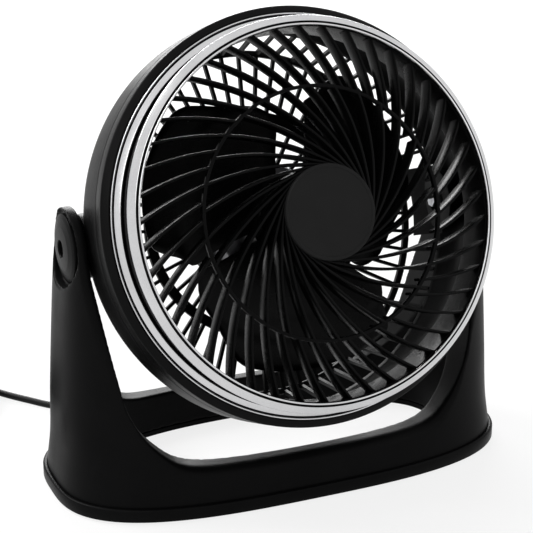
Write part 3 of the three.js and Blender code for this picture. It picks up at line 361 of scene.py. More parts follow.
def turned(outline, steps=160, arc=None, segments=4):
    """A closed outline of (radius, station) turned about Z. An outline that starts at
    radius 0 also ends there. An arc in degrees gives part of a ring with closed ends."""
    on_axis = outline[0][0] == 0
    profile = rounded(outline, segments, closed=not on_axis)
    rings = len(profile)
    count = steps if arc is None else steps + 1
    points = []
    for k in range(count):
        if arc is None:
            angle = 2 * math.pi * k / steps
        else:
            angle = math.radians(arc[0] + (arc[1] - arc[0]) * k / steps)
        points += [(r * math.cos(angle), r * math.sin(angle), z) for r, z in profile]
    faces = []
    for k in range(steps):
        here, there = k * rings, ((k + 1) % count) * rings
        for i in range(rings if not on_axis else rings - 1):
            j = (i + 1) % rings
            faces.append((here + i, there + i, there + j, here + j))
    if arc is not None:
        faces += [tuple(range(rings)), tuple(range(steps * rings, (steps + 1) * rings))]
    return mesh_of("turned", points, faces)


def hoop(inner, outer, back, front, corners, steps):
    """A plain ring, or a disc from radius 0, with its four corner radii from the inner back."""
    places = ((inner, back), (outer, back), (outer, front), (inner, front))
    return turned([(*place, corner) for place, corner in zip(places, corners)], steps)


def band_faces(rows, around_it, ring=False):
    """Faces between rows of points, where each row is a closed loop. Both ends are closed or,
    as a ring, the last row meets the first."""
    faces = []
    for i in range(rows if ring else rows - 1):
        here, there = i * around_it, (i + 1) % rows * around_it
        for k in range(around_it):
            n = (k + 1) % around_it
            faces.append((here + k, here + n, there + n, there + k))
    if not ring:
        faces += [tuple(range(around_it)), tuple(range((rows - 1) * around_it, rows * around_it))]
    return faces


def slab_faces(rows, columns):
    """Faces of a curved slab: two layers of points in a grid, and the wall round them."""
    width, layer = columns + 1, (rows + 1) * (columns + 1)
    faces = []
    for i in range(rows):
        for j in range(columns):
            a = i * width + j
            quad = (a, a + 1, a + width + 1, a + width)
            faces += [quad, tuple(layer + k for k in quad)]
    border = list(range(columns)) + [i * width + columns for i in range(rows)]
    border += [rows * width + columns - j for j in range(columns)]
    border += [(rows - i) * width for i in range(rows)]
    for a, b in zip(border, border[1:] + border[:1]):
        faces.append((a, b, layer + b, layer + a))
    return faces


def swept(path, radius, sides):
    """A round tube along a path, with closed ends and no twist."""
    count = len(path)
    points = []
    side = None
    for i, centre in enumerate(path):
        along = (path[min(i + 1, count - 1)] - path[max(i - 1, 0)]).normalized()
        side = (side or along.orthogonal()) - along * (side or along.orthogonal()).dot(along)
        side.normalize()
        up = along.cross(side)
        for k in range(sides):
            angle = 2 * math.pi * k / sides
            points.append(centre + (side * math.cos(angle) + up * math.sin(angle)) * radius)
    return mesh_of("swept", points, band_faces(count, sides))


def smooth_path(knots, steps):
    """Points along a Catmull-Rom curve through the knots, centripetal so that it stays calm."""
    knots = [Vector(k) for k in knots]
    knots = [2 * knots[0] - knots[1], *knots, 2 * knots[-1] - knots[-2]]
    result = []
    for a, b, c, d in zip(knots, knots[1:], knots[2:], knots[3:]):
        t1 = (b - a).length ** 0.5
        t2 = t1 + (c - b).length ** 0.5
        t3 = t2 + (d - c).length ** 0.5
        for k in range(steps):
            t = t1 + (t2 - t1) * k / steps
            ab = a * ((t1 - t) / t1) + b * (t / t1)
            bc = b * ((t2 - t) / (t2 - t1)) + c * ((t - t1) / (t2 - t1))
            cd = c * ((t3 - t) / (t3 - t2)) + d * ((t - t2) / (t3 - t2))
            abc = ab * ((t2 - t) / t2) + bc * (t / t2)
            bcd = bc * ((t3 - t) / (t3 - t1)) + cd * ((t - t1) / (t3 - t1))
            result.append(abc * ((t2 - t) / (t2 - t1)) + bcd * ((t - t1) / (t2 - t1)))
    result.append(knots[-2])
    return result


def smooth_table(knots, steps):
    """The same curve as columns, for reading values off it."""
    return np.array([tuple(p) for p in smooth_path(knots, steps)]).T


def outline_point(a, b, power, angle):
    """A point of the rounded rectangle |x/a|^power + |y/b|^power = 1."""
    c, s = math.cos(angle), math.sin(angle)
    e = 2 / power
    return a * math.copysign(abs(c) ** e, c), b * math.copysign(abs(s) ** e, s)


def lofted(sections, steps=240, ring=False):
    """Rounded rectangles (a, b, power, z) joined in order, closed at both ends or, as a
    ring, from the last back to the first."""
    points = []
    for a, b, power, z in sections:
        for k in range(steps):
            x, y = outline_point(a, b, power, 2 * math.pi * (k + 0.5) / steps)
            points.append((x, y, z))
    return mesh_of("lofted", points, band_faces(len(sections), steps, ring))


def prism(outline, depth):
    """A flat outline of (x, y) points pushed along Z, half to each side."""
    count = len(outline)
    points = [(x, y, z) for z in (-depth / 2, depth / 2) for x, y in outline]
    faces = [tuple(range(count)), tuple(range(count, 2 * count))]
    faces += [(k, (k + 1) % count, count + (k + 1) % count, count + k) for k in range(count)]
    return mesh_of("prism", points, faces)


def taken_from(work, helpers=()):
    """The plain mesh that a working object's modifiers make. The object and its helpers go."""
    bpy.context.view_layer.update()
    graph = bpy.context.evaluated_depsgraph_get()
    result = bpy.data.meshes.new_from_object(work.evaluated_get(graph))
    work.modifiers.clear()
    for done in (work, *helpers):
        bpy.data.objects.remove(done)
    return result


def cut_out(mesh, tools):
    """The mesh with each (operation, tool mesh) applied in order."""
    work = linked("work", tidied(mesh))
    helpers = []
    for operation, tool_mesh in tools:
        helpers.append(linked("tool", tidied(tool_mesh)))
        step = work.modifiers.new("cut", "BOOLEAN")
        step.operation = operation
        step.solver = "EXACT"
        step.object = helpers[-1]
    return taken_from(work, helpers)


def remeshed(mesh, size, smoothing):
    """One even skin over the mesh, its edges softened like a moulding's."""
    work = linked("work", mesh)
    skin = work.modifiers.new("skin", "REMESH")
    skin.mode = "VOXEL"
    skin.voxel_size = size
    skin.adaptivity = 0.0
    soften = work.modifiers.new("soften", "SMOOTH")
    soften.factor = 0.5
    soften.iterations = smoothing
    return taken_from(work)


# ------------------------------------------------------------------ node-made repeats
def new_tree(name, **sockets):
    """A geometry tree with a Geometry input and output, and the inputs named for each type."""
    tree = bpy.data.node_groups.new(name, "GeometryNodeTree")
    tree.interface.new_socket("Geometry", in_out="INPUT", socket_type="NodeSocketGeometry")
    for kind, labels in sockets.items():
        for label in labels:
            tree.interface.new_socket(label, in_out="INPUT", socket_type=f"NodeSocket{kind}")
    tree.interface.new_socket("Geometry", in_out="OUTPUT", socket_type="NodeSocketGeometry")
    start = tree.nodes.new("NodeGroupInput")
    return tree, {s.name: Value(tree, s) for s in start.outputs if s.name}


def copies_in_a_ring(tree, shape, count, first):
    """Adds the nodes that put copies of a shape round Z."""
    points = add_node(tree, "GeometryNodePoints", {"Count": count})
    index = add_node(tree, "GeometryNodeInputIndex")
    angle = index * (2 * math.pi) / count + first
    euler = add_node(tree, "ShaderNodeCombineXYZ", {"Z": angle})
    turn = add_node(tree, "FunctionNodeEulerToRotation", {"Euler": euler})
    copies = add_node(tree, "GeometryNodeInstanceOnPoints", {
        "Points": points, "Instance": shape, "Rotation": turn})
    return add_node(tree, "GeometryNodeRealizeInstances", {"Geometry": copies})


def finish_tree(tree, shape, material):
    """Gives the shape its material and ends the tree."""
    dressed = add_node(tree, "GeometryNodeSetMaterial", {
        "Geometry": shape, "Material": material})
    end = tree.nodes.new("NodeGroupOutput")
    tree.links.new(dressed.socket, end.inputs["Geometry"])
    return tree


def ring_tree():
    """Copies of the base mesh round Z."""
    tree, given = new_tree("ring_of_copies", Int=["Count"], Float=["First Angle"],
                           Material=["Finish"])
    ring = copies_in_a_ring(tree, given["Geometry"], given["Count"], given["First Angle"])
    return finish_tree(tree, ring, given["Finish"])


def spiral_tree():
    """Ribs that leave the hub along a tangent, curl by a steady lead and fall with the dome."""
    tree, given = new_tree("spiral_ribs", Int=["Count", "Steps"], Float=[
        "First Angle", "Tangent Radius", "From Radius", "To Radius", "Lead", "Width", "Depth",
        "Hub Face", "Dome", "Rim Radius", "Edge Round"], Material=["Finish"])
    line = add_node(tree, "GeometryNodeCurvePrimitiveLine")
    line = add_node(tree, "GeometryNodeResampleCurve", {
        "Curve": line, "Count": given["Steps"]})
    share = add_node(tree, "GeometryNodeSplineParameter", output="Factor")
    tangent = given["Tangent Radius"]

    def run(radius):
        return (radius * radius - tangent * tangent).math("SQRT")

    start = run(given["From Radius"])
    reach = start + (run(given["To Radius"]) - start) * share
    radius = (reach * reach + tangent * tangent).math("SQRT")
    angle = reach.math("ARCTAN2", tangent) + given["Lead"] * (radius - tangent)
    fall = given["Dome"] * (radius / given["Rim Radius"]) ** 2
    place = add_node(tree, "ShaderNodeCombineXYZ", {
        "X": radius * angle.math("COSINE"), "Y": radius * angle.math("SINE"),
        "Z": given["Hub Face"] - fall - given["Depth"] * 0.5})
    line = add_node(tree, "GeometryNodeSetPosition", {"Geometry": line, "Position": place})
    line = add_node(tree, "GeometryNodeSetCurveNormal", {"Curve": line}, mode="Z_UP")
    edge = add_node(tree, "GeometryNodeCurvePrimitiveQuadrilateral", {
        "Width": given["Width"], "Height": given["Depth"]}, mode="RECTANGLE")
    edge = add_node(tree, "GeometryNodeFilletCurve", {
        "Curve": edge, "Radius": given["Edge Round"], "Count": 2}, mode="POLY")
    rib = add_node(tree, "GeometryNodeCurveToMesh", {
        "Curve": line, "Profile Curve": edge, "Fill Caps": True})
    ring = copies_in_a_ring(tree, rib, given["Count"], given["First Angle"])
    return finish_tree(tree, ring, given["Finish"])


def grown(tree, values, base=None):
    """The plain mesh that a tree makes from the named values, on a base mesh if it has one."""
    work = linked("work", base or bpy.data.meshes.new("empty"))
    maker = work.modifiers.new("maker", "NODES")
    maker.node_group = tree
    known = {item.name: item.identifier for item in tree.interface.items_tree
             if item.in_out == "INPUT"}
    for name, value in values.items():
        maker[known[name]] = value
    return taken_from(work)


RING = ring_tree()
SPIRAL = spiral_tree()


def around(mesh, count, first, finish):
    """Copies of a mesh round Z, the first one turned by some degrees."""
    return grown(RING, {
        "Count": count, "First Angle": math.radians(first), "Finish": finishes[finish]},
        tidied(mesh))


# ------------------------------------------------------------------ mains lead
# The same route as the solids': from the strain relief to the floor, the coil and the plug.
CORD_D = 4.4
CORD_FLOOR = CORD_D / 2 + 0.05
GLAND_X, GLAND_Z, GLAND_END = -97, 14.6, 83.1
COIL_CENTRE = (-173.5, 144)
COIL_R, COIL_SPREAD, COIL_PITCH, COIL_LAYERS = 26, 5.1, 5, 4
COIL_START, COIL_END, COIL_TURNS = 37.7, 210, 7
COIL_STEPS = 40
PLUG_AXIS, PLUG_TAIL, PLUG_HEIGHT, PLUG_LENGTH, PLUG_POWER = -183, 86, 13.6, 32, 3.2
# share of the plug's length from its tail, then half its width and half its height there
PLUG_SECTIONS = [(0, 3.6, 3.2), (0.02, 4.4, 3.9), (0.08, 5.0, 4.2), (0.2, 7.0, 4.9), (0.34, 11.5, 5.9),
                 (0.46, 15.6, 6.5), (0.58, 17.0, 6.7), (0.72, 16.6, 6.3), (0.86, 17.2, 6.6),
                 (0.96, 17.4, 6.7), (1, 16.6, 6.0)]
turns_in_all = COIL_TURNS + (COIL_END - COIL_START) / 360


def coil_point(turns):
    """The lead's axis after some turns: each layer winds in or out, then steps up to the next."""
    layer_turns = turns_in_all / COIL_LAYERS
    layer = min(COIL_LAYERS - 1, int(turns / layer_turns))
    done = turns / layer_turns - layer
    inward = 1 - 2 * done if layer % 2 == 0 else 2 * done - 1
    r = COIL_R + COIL_SPREAD * inward
    height = layer
    since, left = done * layer_turns, (1 - done) * layer_turns
    if layer > 0 and since < 0.25:
        height -= 0.5 - since * 2
    if layer < COIL_LAYERS - 1 and left < 0.25:
        height += 0.5 - left * 2
    angle = math.radians(COIL_START) + 2 * math.pi * turns
    return Vector((COIL_CENTRE[0] + r * math.cos(angle), COIL_CENTRE[1] + r * math.sin(angle),
                   CORD_FLOOR + COIL_PITCH * height))


def coil_line():
    count = round(turns_in_all * COIL_STEPS)
    return [coil_point(turns_in_all * i / count) for i in range(count + 1)]


def lead_route():
    """The lead's axis from the strain relief over the floor and the coil to the plug's tail."""
    coil = coil_line()
    back = (coil[0] - coil[1]).normalized()
    out = (coil[-1] - coil[-2]).normalized()
    to_coil = [
        (GLAND_X, GLAND_END + 0.3, GLAND_Z), (GLAND_X, GLAND_END + 5, GLAND_Z),
        (-97.7, 95.5, 12.6), (-100.4, 102, 8), (-105.2, 108.6, 3.6), (-111.2, 116, CORD_FLOOR),
        (-121.3, 128.2, CORD_FLOOR), (-131, 140.5, CORD_FLOOR), coil[0] + back * 10, coil[0]]
    to_plug = [
        coil[-1], coil[-1] + out * 6, (-188.4, 106.5, 12.6), (-184.2, 97, 8.6),
        (PLUG_AXIS, PLUG_TAIL + 6, PLUG_HEIGHT / 2), (PLUG_AXIS, PLUG_TAIL + 0.3, PLUG_HEIGHT / 2)]
    return smooth_path(to_coil, 8)[:-1] + coil + smooth_path(to_plug, 8)[1:]


def strain_relief():
    """A ribbed taper round the lead where it leaves the stand."""
    neck, mouth = 3.7, CORD_D / 2 + 0.7
    start, seat = GLAND_END - 29, 60.5
    outline = [(2.0, start), (neck, start), (neck, seat), (4.9, seat, 0.5), (4.9, seat + 2.5, 0.5)]
    fins, first = 6, seat + 4
    pitch = (GLAND_END - 1 - first) / fins
    for k in range(fins):
        share = k / fins
        fin = 4.3 - 1.2 * share
        low = fin - 0.8
        at = first + k * pitch
        outline += [(low, at - 1), (fin, at, 0.3), (fin, at + pitch * 0.45, 0.3),
                    (low - 0.1, at + pitch * 0.5 + 0.4)]
    outline += [(mouth, GLAND_END, 0.3), (2.0, GLAND_END)]
    return turned(outline, 40)


def plug_mesh():
    """A slim two-pin plug: a rounded body that narrows to its tail, with grip hollows."""
    steps = 48
    points = []
    for share, half_width, half_height in PLUG_SECTIONS:
        for k in range(steps):
            x, z = outline_point(half_width, half_height, PLUG_POWER, 2 * math.pi * k / steps)
            points.append((PLUG_AXIS + x, PLUG_TAIL - PLUG_LENGTH * share, PLUG_HEIGHT / 2 + z))
    return mesh_of("plug", points, band_faces(len(PLUG_SECTIONS), steps))


route = lead_route()
gland_place = STAND @ shift(GLAND_X, 0, GLAND_Z) @ spin(-90, "X")
relief = piece("strain_relief", strain_relief(), gland_place, "cable", "stand", ["cord_gland"])
plug = piece("plug", plug_mesh(), STAND, "cable", "stand", ["plug_body"])
lead = piece("mains_lead", swept(route, CORD_D / 2, 12), STAND, "cable", "stand",
             ["cord_lead", "cord_coil", "cord_tail"], 60)

# ------------------------------------------------------------------ stand
# Each outline is a rounded rectangle: half its width, half its depth, and its power.
FOOT_A, FOOT_B, FOOT_POWER = 143.4, 70.5, 2.93
HOLE_A, HOLE_B, HOLE_POWER = 114.0, 52.2, 2.6
STAND_BOTTOM, STAND_STEP, PIVOT_FACE = 4.3, 9.1, 122.3
HEAD_ROUND_R, SIDE_SLOPE, BAR_TOP = 23.5, 0.28, 28
CAP_R, CAP_RIM_X, CAP_CROWN_X, CAP_BACK_X = 19.9, 128.6, 131.2, 125.9
POCKET_R, POCKET_FLOOR = 22.3, 126.6
SKIN_SIZE, SKIN_SMOOTHING = 1.25, 4
SIDE_EDGE, ARCH_EDGE, BAR_EDGE, HOLE_EDGE, POCKET_EDGE, BOTTOM_EDGE = 1.7, 1.4, 4.8, 1.0, 0.6, 0.2
# height, and how far the sides and the faces stand in from the foot's outline there
FLANKS = [(STAND_BOTTOM, 2.5, 2.5), (STAND_STEP, 2.5, 2.5), (30.2, 4.8, 6.5), (60.5, 5.7, 11),
          (100, 8.1, 12.7), (130, 10.2, 14), (176.9, 14.6, 15.5)]
# the opening's edge: how far in and down from the pivot, then along the bar as (x, rise)
ARCH = [(0, 0), (0.9, 12), (2.3, 22), (4.6, 38), (7, 54), (9.6, 69), (12.7, 84),
        (17.6, 95.5), (23.9, 105), (31, 112.3), (38.3, 118)]
BAR_CURVE = [(79.5, 3.2), (75, 1.9), (69, 1.0), (60, 0.4), (42, 0.1), (0, 0), (-42, 0.1)]


def flanks(z):
    """Half the width and half the depth of the flanks at some heights, and their power."""
    heights, side, face = smooth_table(FLANKS, 6)
    return FOOT_A - np.interp(z, heights, side), FOOT_B - np.interp(z, heights, face), FOOT_POWER


def flank_mesh():
    levels = [STAND_BOTTOM, STAND_STEP] + [12 + 4 * k for k in range(42)]
    return lofted([(*flanks(z), z) for z in levels], 240)


def arch_outline():
    """The right half of the opening's edge as (x, z), from above the pivot down to the bar."""
    knots = [(PIVOT_FACE - side, PIVOT_HEIGHT - drop, 0) for side, drop in ARCH]
    knots += [(x, BAR_TOP + rise, 0) for x, rise in BAR_CURVE]
    curve = smooth_path(knots, 6)
    return [(PIVOT_FACE, 200), *[(p.x, p.y) for p in curve if p.x > -1e-6]]


def side_outline():
    """The front half of the upright's side view as (y, z), from the floor to its top."""
    lean = math.atan(SIDE_SLOPE)
    knee, wide = BAR_TOP + 14, FOOT_B + 5

    def leg(z):
        return HEAD_ROUND_R / math.cos(lean) + SIDE_SLOPE * (PIVOT_HEIGHT - z)

    outline = [(wide, -1), (wide, BAR_TOP)]
    bend = [(wide, BAR_TOP), (leg(knee) + 1, BAR_TOP + 6), (leg(knee), knee)]
    for k in range(1, 11):
        t = k / 10
        weights = ((1 - t) ** 2, 2 * t * (1 - t), t ** 2)
        outline.append(tuple(sum(w * point[i] for w, point in zip(weights, bend)) for i in (0, 1)))
    for k in range(41):
        angle = lean + (math.pi / 2 - lean) * k / 40
        outline.append((HEAD_ROUND_R * math.cos(angle), PIVOT_HEIGHT + HEAD_ROUND_R * math.sin(angle)))
    return outline


def mirrored(outline):
    """The outline and its mirror image across the second axis, as one closed outline."""
    other = [(-a, b) for a, b in reversed(outline) if a > 1e-6]
    return [*outline, *other]


def cut_blocks():
    """The solids that trim the flanks: side view, opening, window and the two pockets."""
    upright = Matrix(((0, 0, 1, 0), (1, 0, 0, 0), (0, 1, 0, 0), (0, 0, 0, 1)))
    side = moved(prism(mirrored(side_outline()), 340), upright)
    arch = moved(prism(mirrored(arch_outline()), 300), spin(90, "X"))
    window = lofted([(HOLE_A, HOLE_B, HOLE_POWER, z) for z in (-2, 88)], 200)
    blocks = [("INTERSECT", side), ("DIFFERENCE", arch), ("DIFFERENCE", window)]
    for hand in (1, -1):
        pocket = hoop(0, POCKET_R, POCKET_FLOOR, 140, (0, 0, 0, 0), 96)
        blocks.append(("DIFFERENCE", moved(pocket, shift(0, 0, PIVOT_HEIGHT) @ facing(hand))))
    return blocks


# Each surface below gives, for many points at once, how far they are outside the stand's
# material and the direction straight out of it.
def outside(distance, x=0, y=0, z=0):
    """The distances, and the directions put together from their parts."""
    return distance, np.stack(np.broadcast_arrays(distance, x, y, z)[1:], axis=1)


def off_outline(first, second, outline):
    """Off the nearest stretch of an outline that has the material on its left."""
    start = np.array(outline[:-1])
    along = np.array(outline[1:]) - start
    length = np.linalg.norm(along, axis=1)
    along /= length[:, None]
    outward = np.stack([along[:, 1], -along[:, 0]], axis=1)
    distances, ways = [], []
    for part in np.array_split(np.stack([first, second], axis=1), 8):
        gap = part[:, None, :] - start
        reach = np.clip((gap * along).sum(2), 0, length)
        gap -= along * reach[..., None]
        nearest = (gap ** 2).sum(2).argmin(1)
        ways.append(outward[nearest])
        distances.append((gap[np.arange(len(part)), nearest] * ways[-1]).sum(1))
    return np.concatenate(distances), *np.concatenate(ways).T


def off_superellipse(x, y, a, b, power):
    spread = ((x / a) ** power + (y / b) ** power) ** (1 / power)
    lean_x = spread ** (1 - power) * (x / a) ** (power - 1) / a
    lean_y = spread ** (1 - power) * (y / b) ** (power - 1) / b
    steep = np.hypot(lean_x, lean_y)
    return (spread - 1) / steep, lean_x / steep, lean_y / steep


def meeting(first, second, edge):
    """Where both surfaces bound the material: the edge between them gets that radius."""
    reach_a = np.maximum(first[0] + edge, 0)
    reach_b = np.maximum(second[0] + edge, 0)
    reach = np.hypot(reach_a, reach_b)
    distance = np.minimum(-edge, np.maximum(first[0], second[0])) + reach
    inside = np.where((first[0] > second[0])[:, None], first[1], second[1])
    blend = reach_a[:, None] * first[1] + reach_b[:, None] * second[1]
    blend /= np.maximum(reach, 1e-9)[:, None]
    return distance, np.where((reach > 1e-6)[:, None], blend, inside)


def off_pocket(x, y, rise):
    """Off the wall or the floor of the round pocket, whichever is nearer."""
    round_pivot = np.hypot(y, rise)
    wall = outside(POCKET_R - round_pivot, y=-y / round_pivot, z=-rise / round_pivot)
    bed = outside(x - POCKET_FLOOR, x=1)
    on_wall = wall[0] < bed[0]
    return np.minimum(wall[0], bed[0]), np.where(on_wall[:, None], wall[1], bed[1])


def off_stand(points):
    """Off the whole stand. It is the same in all four quarters, so one of them is worked out."""
    x, y, z = np.abs(points[:, 0]), np.abs(points[:, 1]), points[:, 2]
    skin = outside(*off_superellipse(x, y, *flanks(z)))
    d, gy, gz = off_outline(y, z, side_outline())
    skin = meeting(skin, outside(d, y=gy, z=gz), SIDE_EDGE)
    d, gx, gz = off_outline(x, z, arch_outline())
    edge = ARCH_EDGE + BAR_EDGE * np.clip((BAR_TOP + 30 - z) / 28, 0, 1)
    skin = meeting(skin, outside(d, x=gx, z=gz), edge)
    d, gx, gy = off_superellipse(x, y, HOLE_A, HOLE_B, HOLE_POWER)
    skin = meeting(skin, outside(-d, -gx, -gy), HOLE_EDGE)
    skin = meeting(skin, off_pocket(x, y, z - PIVOT_HEIGHT), POCKET_EDGE)
    distance, way = meeting(skin, outside(STAND_BOTTOM - z, z=-1), BOTTOM_EDGE)
    return distance, way * np.sign(points)


def stand_mesh():
    """An even skin over the trimmed flanks, laid onto the exact surfaces and rounded edges."""
    mesh = remeshed(cut_out(flank_mesh(), cut_blocks()), SKIN_SIZE, SKIN_SMOOTHING)
    points = np.empty(len(mesh.vertices) * 3)
    mesh.vertices.foreach_get("co", points)
    points = points.reshape(-1, 3)
    for _ in range(4):
        distance, way = off_stand(points)
        points -= way * np.clip(distance, -1, 1)[:, None]
    mesh.vertices.foreach_set("co", points.ravel())
    return mesh


def foot_mesh():
    """Foot plate with its low flange: a step, a soft upper edge and the window's wall."""
    steps_in = [(0.9, 1.0), (0.3, 1.2), (0, 1.8), (0, 7.9), (0.25, 8.5), (0.8, 8.95), (1.5, 9.0),
                (2.15, 8.9), (2.2, 8.6), (2.2, 4.0)]
    sections = [(FOOT_A - inset, FOOT_B - inset, FOOT_POWER, z) for inset, z in steps_in]
    sections += [(HOLE_A, HOLE_B, HOLE_POWER, 4.0), (HOLE_A, HOLE_B, HOLE_POWER, 1.0)]
    return lofted(sections, 300, ring=True)


piece("stand_moulding", stand_mesh(), STAND, "stand", "stand", ["stand_shell"], 180)
piece("foot_flange", foot_mesh(), STAND, "stand", "stand", ["base_plate"], 40)

# ------------------------------------------------------------------ pivots
SCREW_SEAT_X, SCREW_END_X = CAP_BACK_X - 5, 105.7
STUB_R, STUB_X, WELL_R, BOLT_HOLE_R, BOLT_R = 8.7, 114.5, 4.9, 2.3, 2.0


def pivot_cap():
    """A domed cap with a well for the screw's head, and its stub through the upright."""
    return turned([
        (BOLT_HOLE_R, STUB_X), (STUB_R, STUB_X), (STUB_R, CAP_BACK_X), (CAP_R, CAP_BACK_X, 0.4),
        (CAP_R, CAP_RIM_X, 0.7), (CAP_R - 2.4, CAP_RIM_X + 0.9, 3), (12.7, CAP_CROWN_X - 0.6, 4),
        (WELL_R + 0.5, CAP_CROWN_X, 0.5), (WELL_R, CAP_CROWN_X - 0.6, 0.3), (WELL_R, SCREW_SEAT_X),
        (BOLT_HOLE_R, SCREW_SEAT_X)], 96)


def screw_head(radius, height, recess):
    """A pan head with a cross recess, its seat at zero."""
    head = turned([(0, 0), (radius, 0), (radius, height * 0.45, 0.4),
                   (radius * 0.72, height, 1.2), (0, height * 1.02)], 32)
    arm, width = radius * 0.55, radius * 0.16
    tools = []
    for length, thick in ((arm, width), (width, arm)):
        bar = prism([(-length, -thick), (length, -thick), (length, thick), (-length, thick)], recess * 2)
        tools.append(("DIFFERENCE", moved(bar, shift(0, 0, height))))
    return cut_out(head, tools)


for side, label in ((-1, "left"), (1, "right")):
    piece(f"pivot_disc_{label}", pivot_cap(), beside(side), "stand", "stand",
          [f"pivot_cap_{label}"], 40)
    bolt = moved(screw_head(4.3, 2.8, 1.3), shift(0, 0, SCREW_SEAT_X + 0.3))
    shank = hoop(0, BOLT_R, SCREW_END_X, SCREW_SEAT_X + 0.4, (0, 0.3, 0, 0), 24)
    piece(f"pivot_bolt_{label}", joined([bolt, shank]), beside(side), "zinc", "stand",
          [f"pivot_screw_{label}"])

# ------------------------------------------------------------------ head: drum and rings
DRUM_R, DRUM_WALL, DRUM_FRONT, SHOULDER, DROP = 120.0, 2.6, 37.3, 16.0, 4.8
BASKET_BACK, BASKET_R, CORNER = -37.0, 107.0, 4.0
BEZEL_R, TRIM_R, LIP_FACE, LIP_BORE = 119.9, 115.0, 48.3, 109.0
BEZEL_FRONT, SEAM = LIP_FACE - 0.4, 0.06
TRIM_FACE = LIP_FACE + 0.3
BEVEL_TOP = LIP_FACE + 21.4
HUB_FACE = BEVEL_TOP + 12.6
GRILLE_R, GRILLE_BORE, BEVEL_R, GROOVE_R = 108.6, 104.0, 111.0, 106.4
HUB_R = 27.2
EAR_HALF, EAR_DEPTH, BOSS_R, BOSS_FACE, BOSS_BACK = 21.0, 26.0, 18.5, 119.9, 109.3


def taper_r(z):
    """The head's outer radius: the drum, its rounded shoulder, then the cone of the basket."""
    back_r = DRUM_R - DROP
    if z >= 0:
        return back_r + DROP * math.sin(math.pi / 2 * min(1, z / SHOULDER))
    return back_r + (BASKET_R - back_r) * (z / (BASKET_BACK + CORNER))


def drum_mesh():
    rise = [SHOULDER * k / 12 for k in range(13)]
    outline = [(taper_r(z), z) for z in rise]
    outline[0] = (taper_r(0), 0, 0.4)
    outline += [(DRUM_R, DRUM_FRONT, 0.05), (DRUM_R - DRUM_WALL, DRUM_FRONT, 0.4)]
    outline += [(taper_r(z) - DRUM_WALL, z) for z in reversed(rise)]
    return turned(outline, 240)


def ear_mesh(side):
    """The solid patch of wall beside a pivot, thick as the drum's."""
    rows, columns = 14, 16
    points = []
    for wall in (0, DRUM_WALL):
        for i in range(rows + 1):
            z = 0.6 - (EAR_DEPTH + 0.6) * i / rows
            r = taper_r(min(z, 0)) - wall
            for j in range(columns + 1):
                v = EAR_HALF * (2 * j / columns - 1)
                points.append((side * math.sqrt(r * r - v * v), v, z))
    return mesh_of("ear", points, slab_faces(rows, columns))


def boss_mesh(side):
    """The round seat on the drum for the cap's stub."""
    boss = hoop(STUB_R + 0.3, BOSS_R, BOSS_BACK, BOSS_FACE, (0, 0.8, 1.0, 0.4), 72)
    return moved(boss, facing(side))


def bezel_mesh():
    """The black ring on the drum's front, with a spigot into the drum and a lip for the guard."""
    back = DRUM_FRONT + SEAM
    lip_back = LIP_FACE - 1.6
    spigot_out, spigot_in, spigot_end = 117.1, 113.1, back - 5
    return turned([
        (spigot_out, back), (BEZEL_R, back, 0.05), (BEZEL_R, BEZEL_FRONT - 0.9, 1.4),
        (TRIM_R + 0.9, BEZEL_FRONT + 1.5, 0.7), (TRIM_R + 0.3, BEZEL_FRONT + 1.2, 0.3),
        (TRIM_R + 0.3, LIP_FACE, 0.2), (LIP_BORE, LIP_FACE, 0.3), (LIP_BORE, lip_back),
        (spigot_in, lip_back), (spigot_in, spigot_end), (spigot_out, spigot_end)], 240)


def rear_ring():
    """Bright ring that rises towards the guard, with a fine bead outside a black groove."""
    seat, face, bore = TRIM_FACE, TRIM_FACE + 2.2, LIP_BORE + 0.4
    bead = hoop(TRIM_R - 0.9, TRIM_R + 0.1, seat, face - 0.1, (0, 0, 0.45, 0.45), 240)
    band = turned([
        (bore, seat), (TRIM_R - 1.8, seat), (TRIM_R - 1.8, face - 0.3, 0.4),
        (TRIM_R - 2.5, face + 0.3, 0.6), (bore + 0.9, face + 1.9, 0.8), (bore, face + 1.7, 0.4)], 240)
    return joined([bead, band])


def front_ring():
    """Bright bevel and, across a gap, a rolled bright lip; the black floor seen in the gap is painted shade
    in the groove.
    """
    low, high = BEVEL_TOP - 2.2, BEVEL_TOP + 1.4
    bevel = turned([
        (BEVEL_R - 0.2, low - 1.5, 0.2), (BEVEL_R, low, 0.7), (GROOVE_R + 0.7, high - 0.1, 0.4),
        (GROOVE_R + 0.6, high - 1.2), (GROOVE_R + 1.3, low - 1.5)], 240)
    lip = turned([
        (GROOVE_R - 0.5, high - 1.2), (GROOVE_R - 0.5, high + 0.5, 0.45), (GROOVE_R - 1.4, high + 0.7, 0.7),
        (GROOVE_R - 1.8, high - 0.3, 0.35), (GROOVE_R - 1.3, high - 1.2, 0.2)], 240)
    return joined([bevel, lip])


drum = joined([drum_mesh(), ear_mesh(1), ear_mesh(-1), boss_mesh(1), boss_mesh(-1)])
piece("drum", drum, HEAD, "shell", "head", ["housing_shell"])
piece("bezel", bezel_mesh(), HEAD, "shell", "head", ["front_bezel"])
piece("rear_chrome_ring", rear_ring(), HEAD, "chrome", "head", ["rear_trim_ring"], 50)
piece("front_chrome_ring", front_ring(), HEAD, "chrome", "head", ["front_trim_ring"], 50)

# ------------------------------------------------------------------ head: spiral guard
TANGENT_R, LEAD, DOME, DOME_R = HUB_R - 1, math.radians(0.24), 13.6, 104.2
RIB_WIDTH, RIB_DEPTH, RIB_EDGE, RIB_FIRST = 1.6, 10.5, 0.55, -38
INNER_RIBS, OUTER_RIBS = 30, 45
RING_R, RING_WIDTH, RING_DEPTH = 70.5, 2.0, 3.2
RIM_BACK, FLANGE_R, FLANGE_WALL, RIM_MOUTH = 43.9, 112.8, 2.2, GRILLE_BORE + 0.3


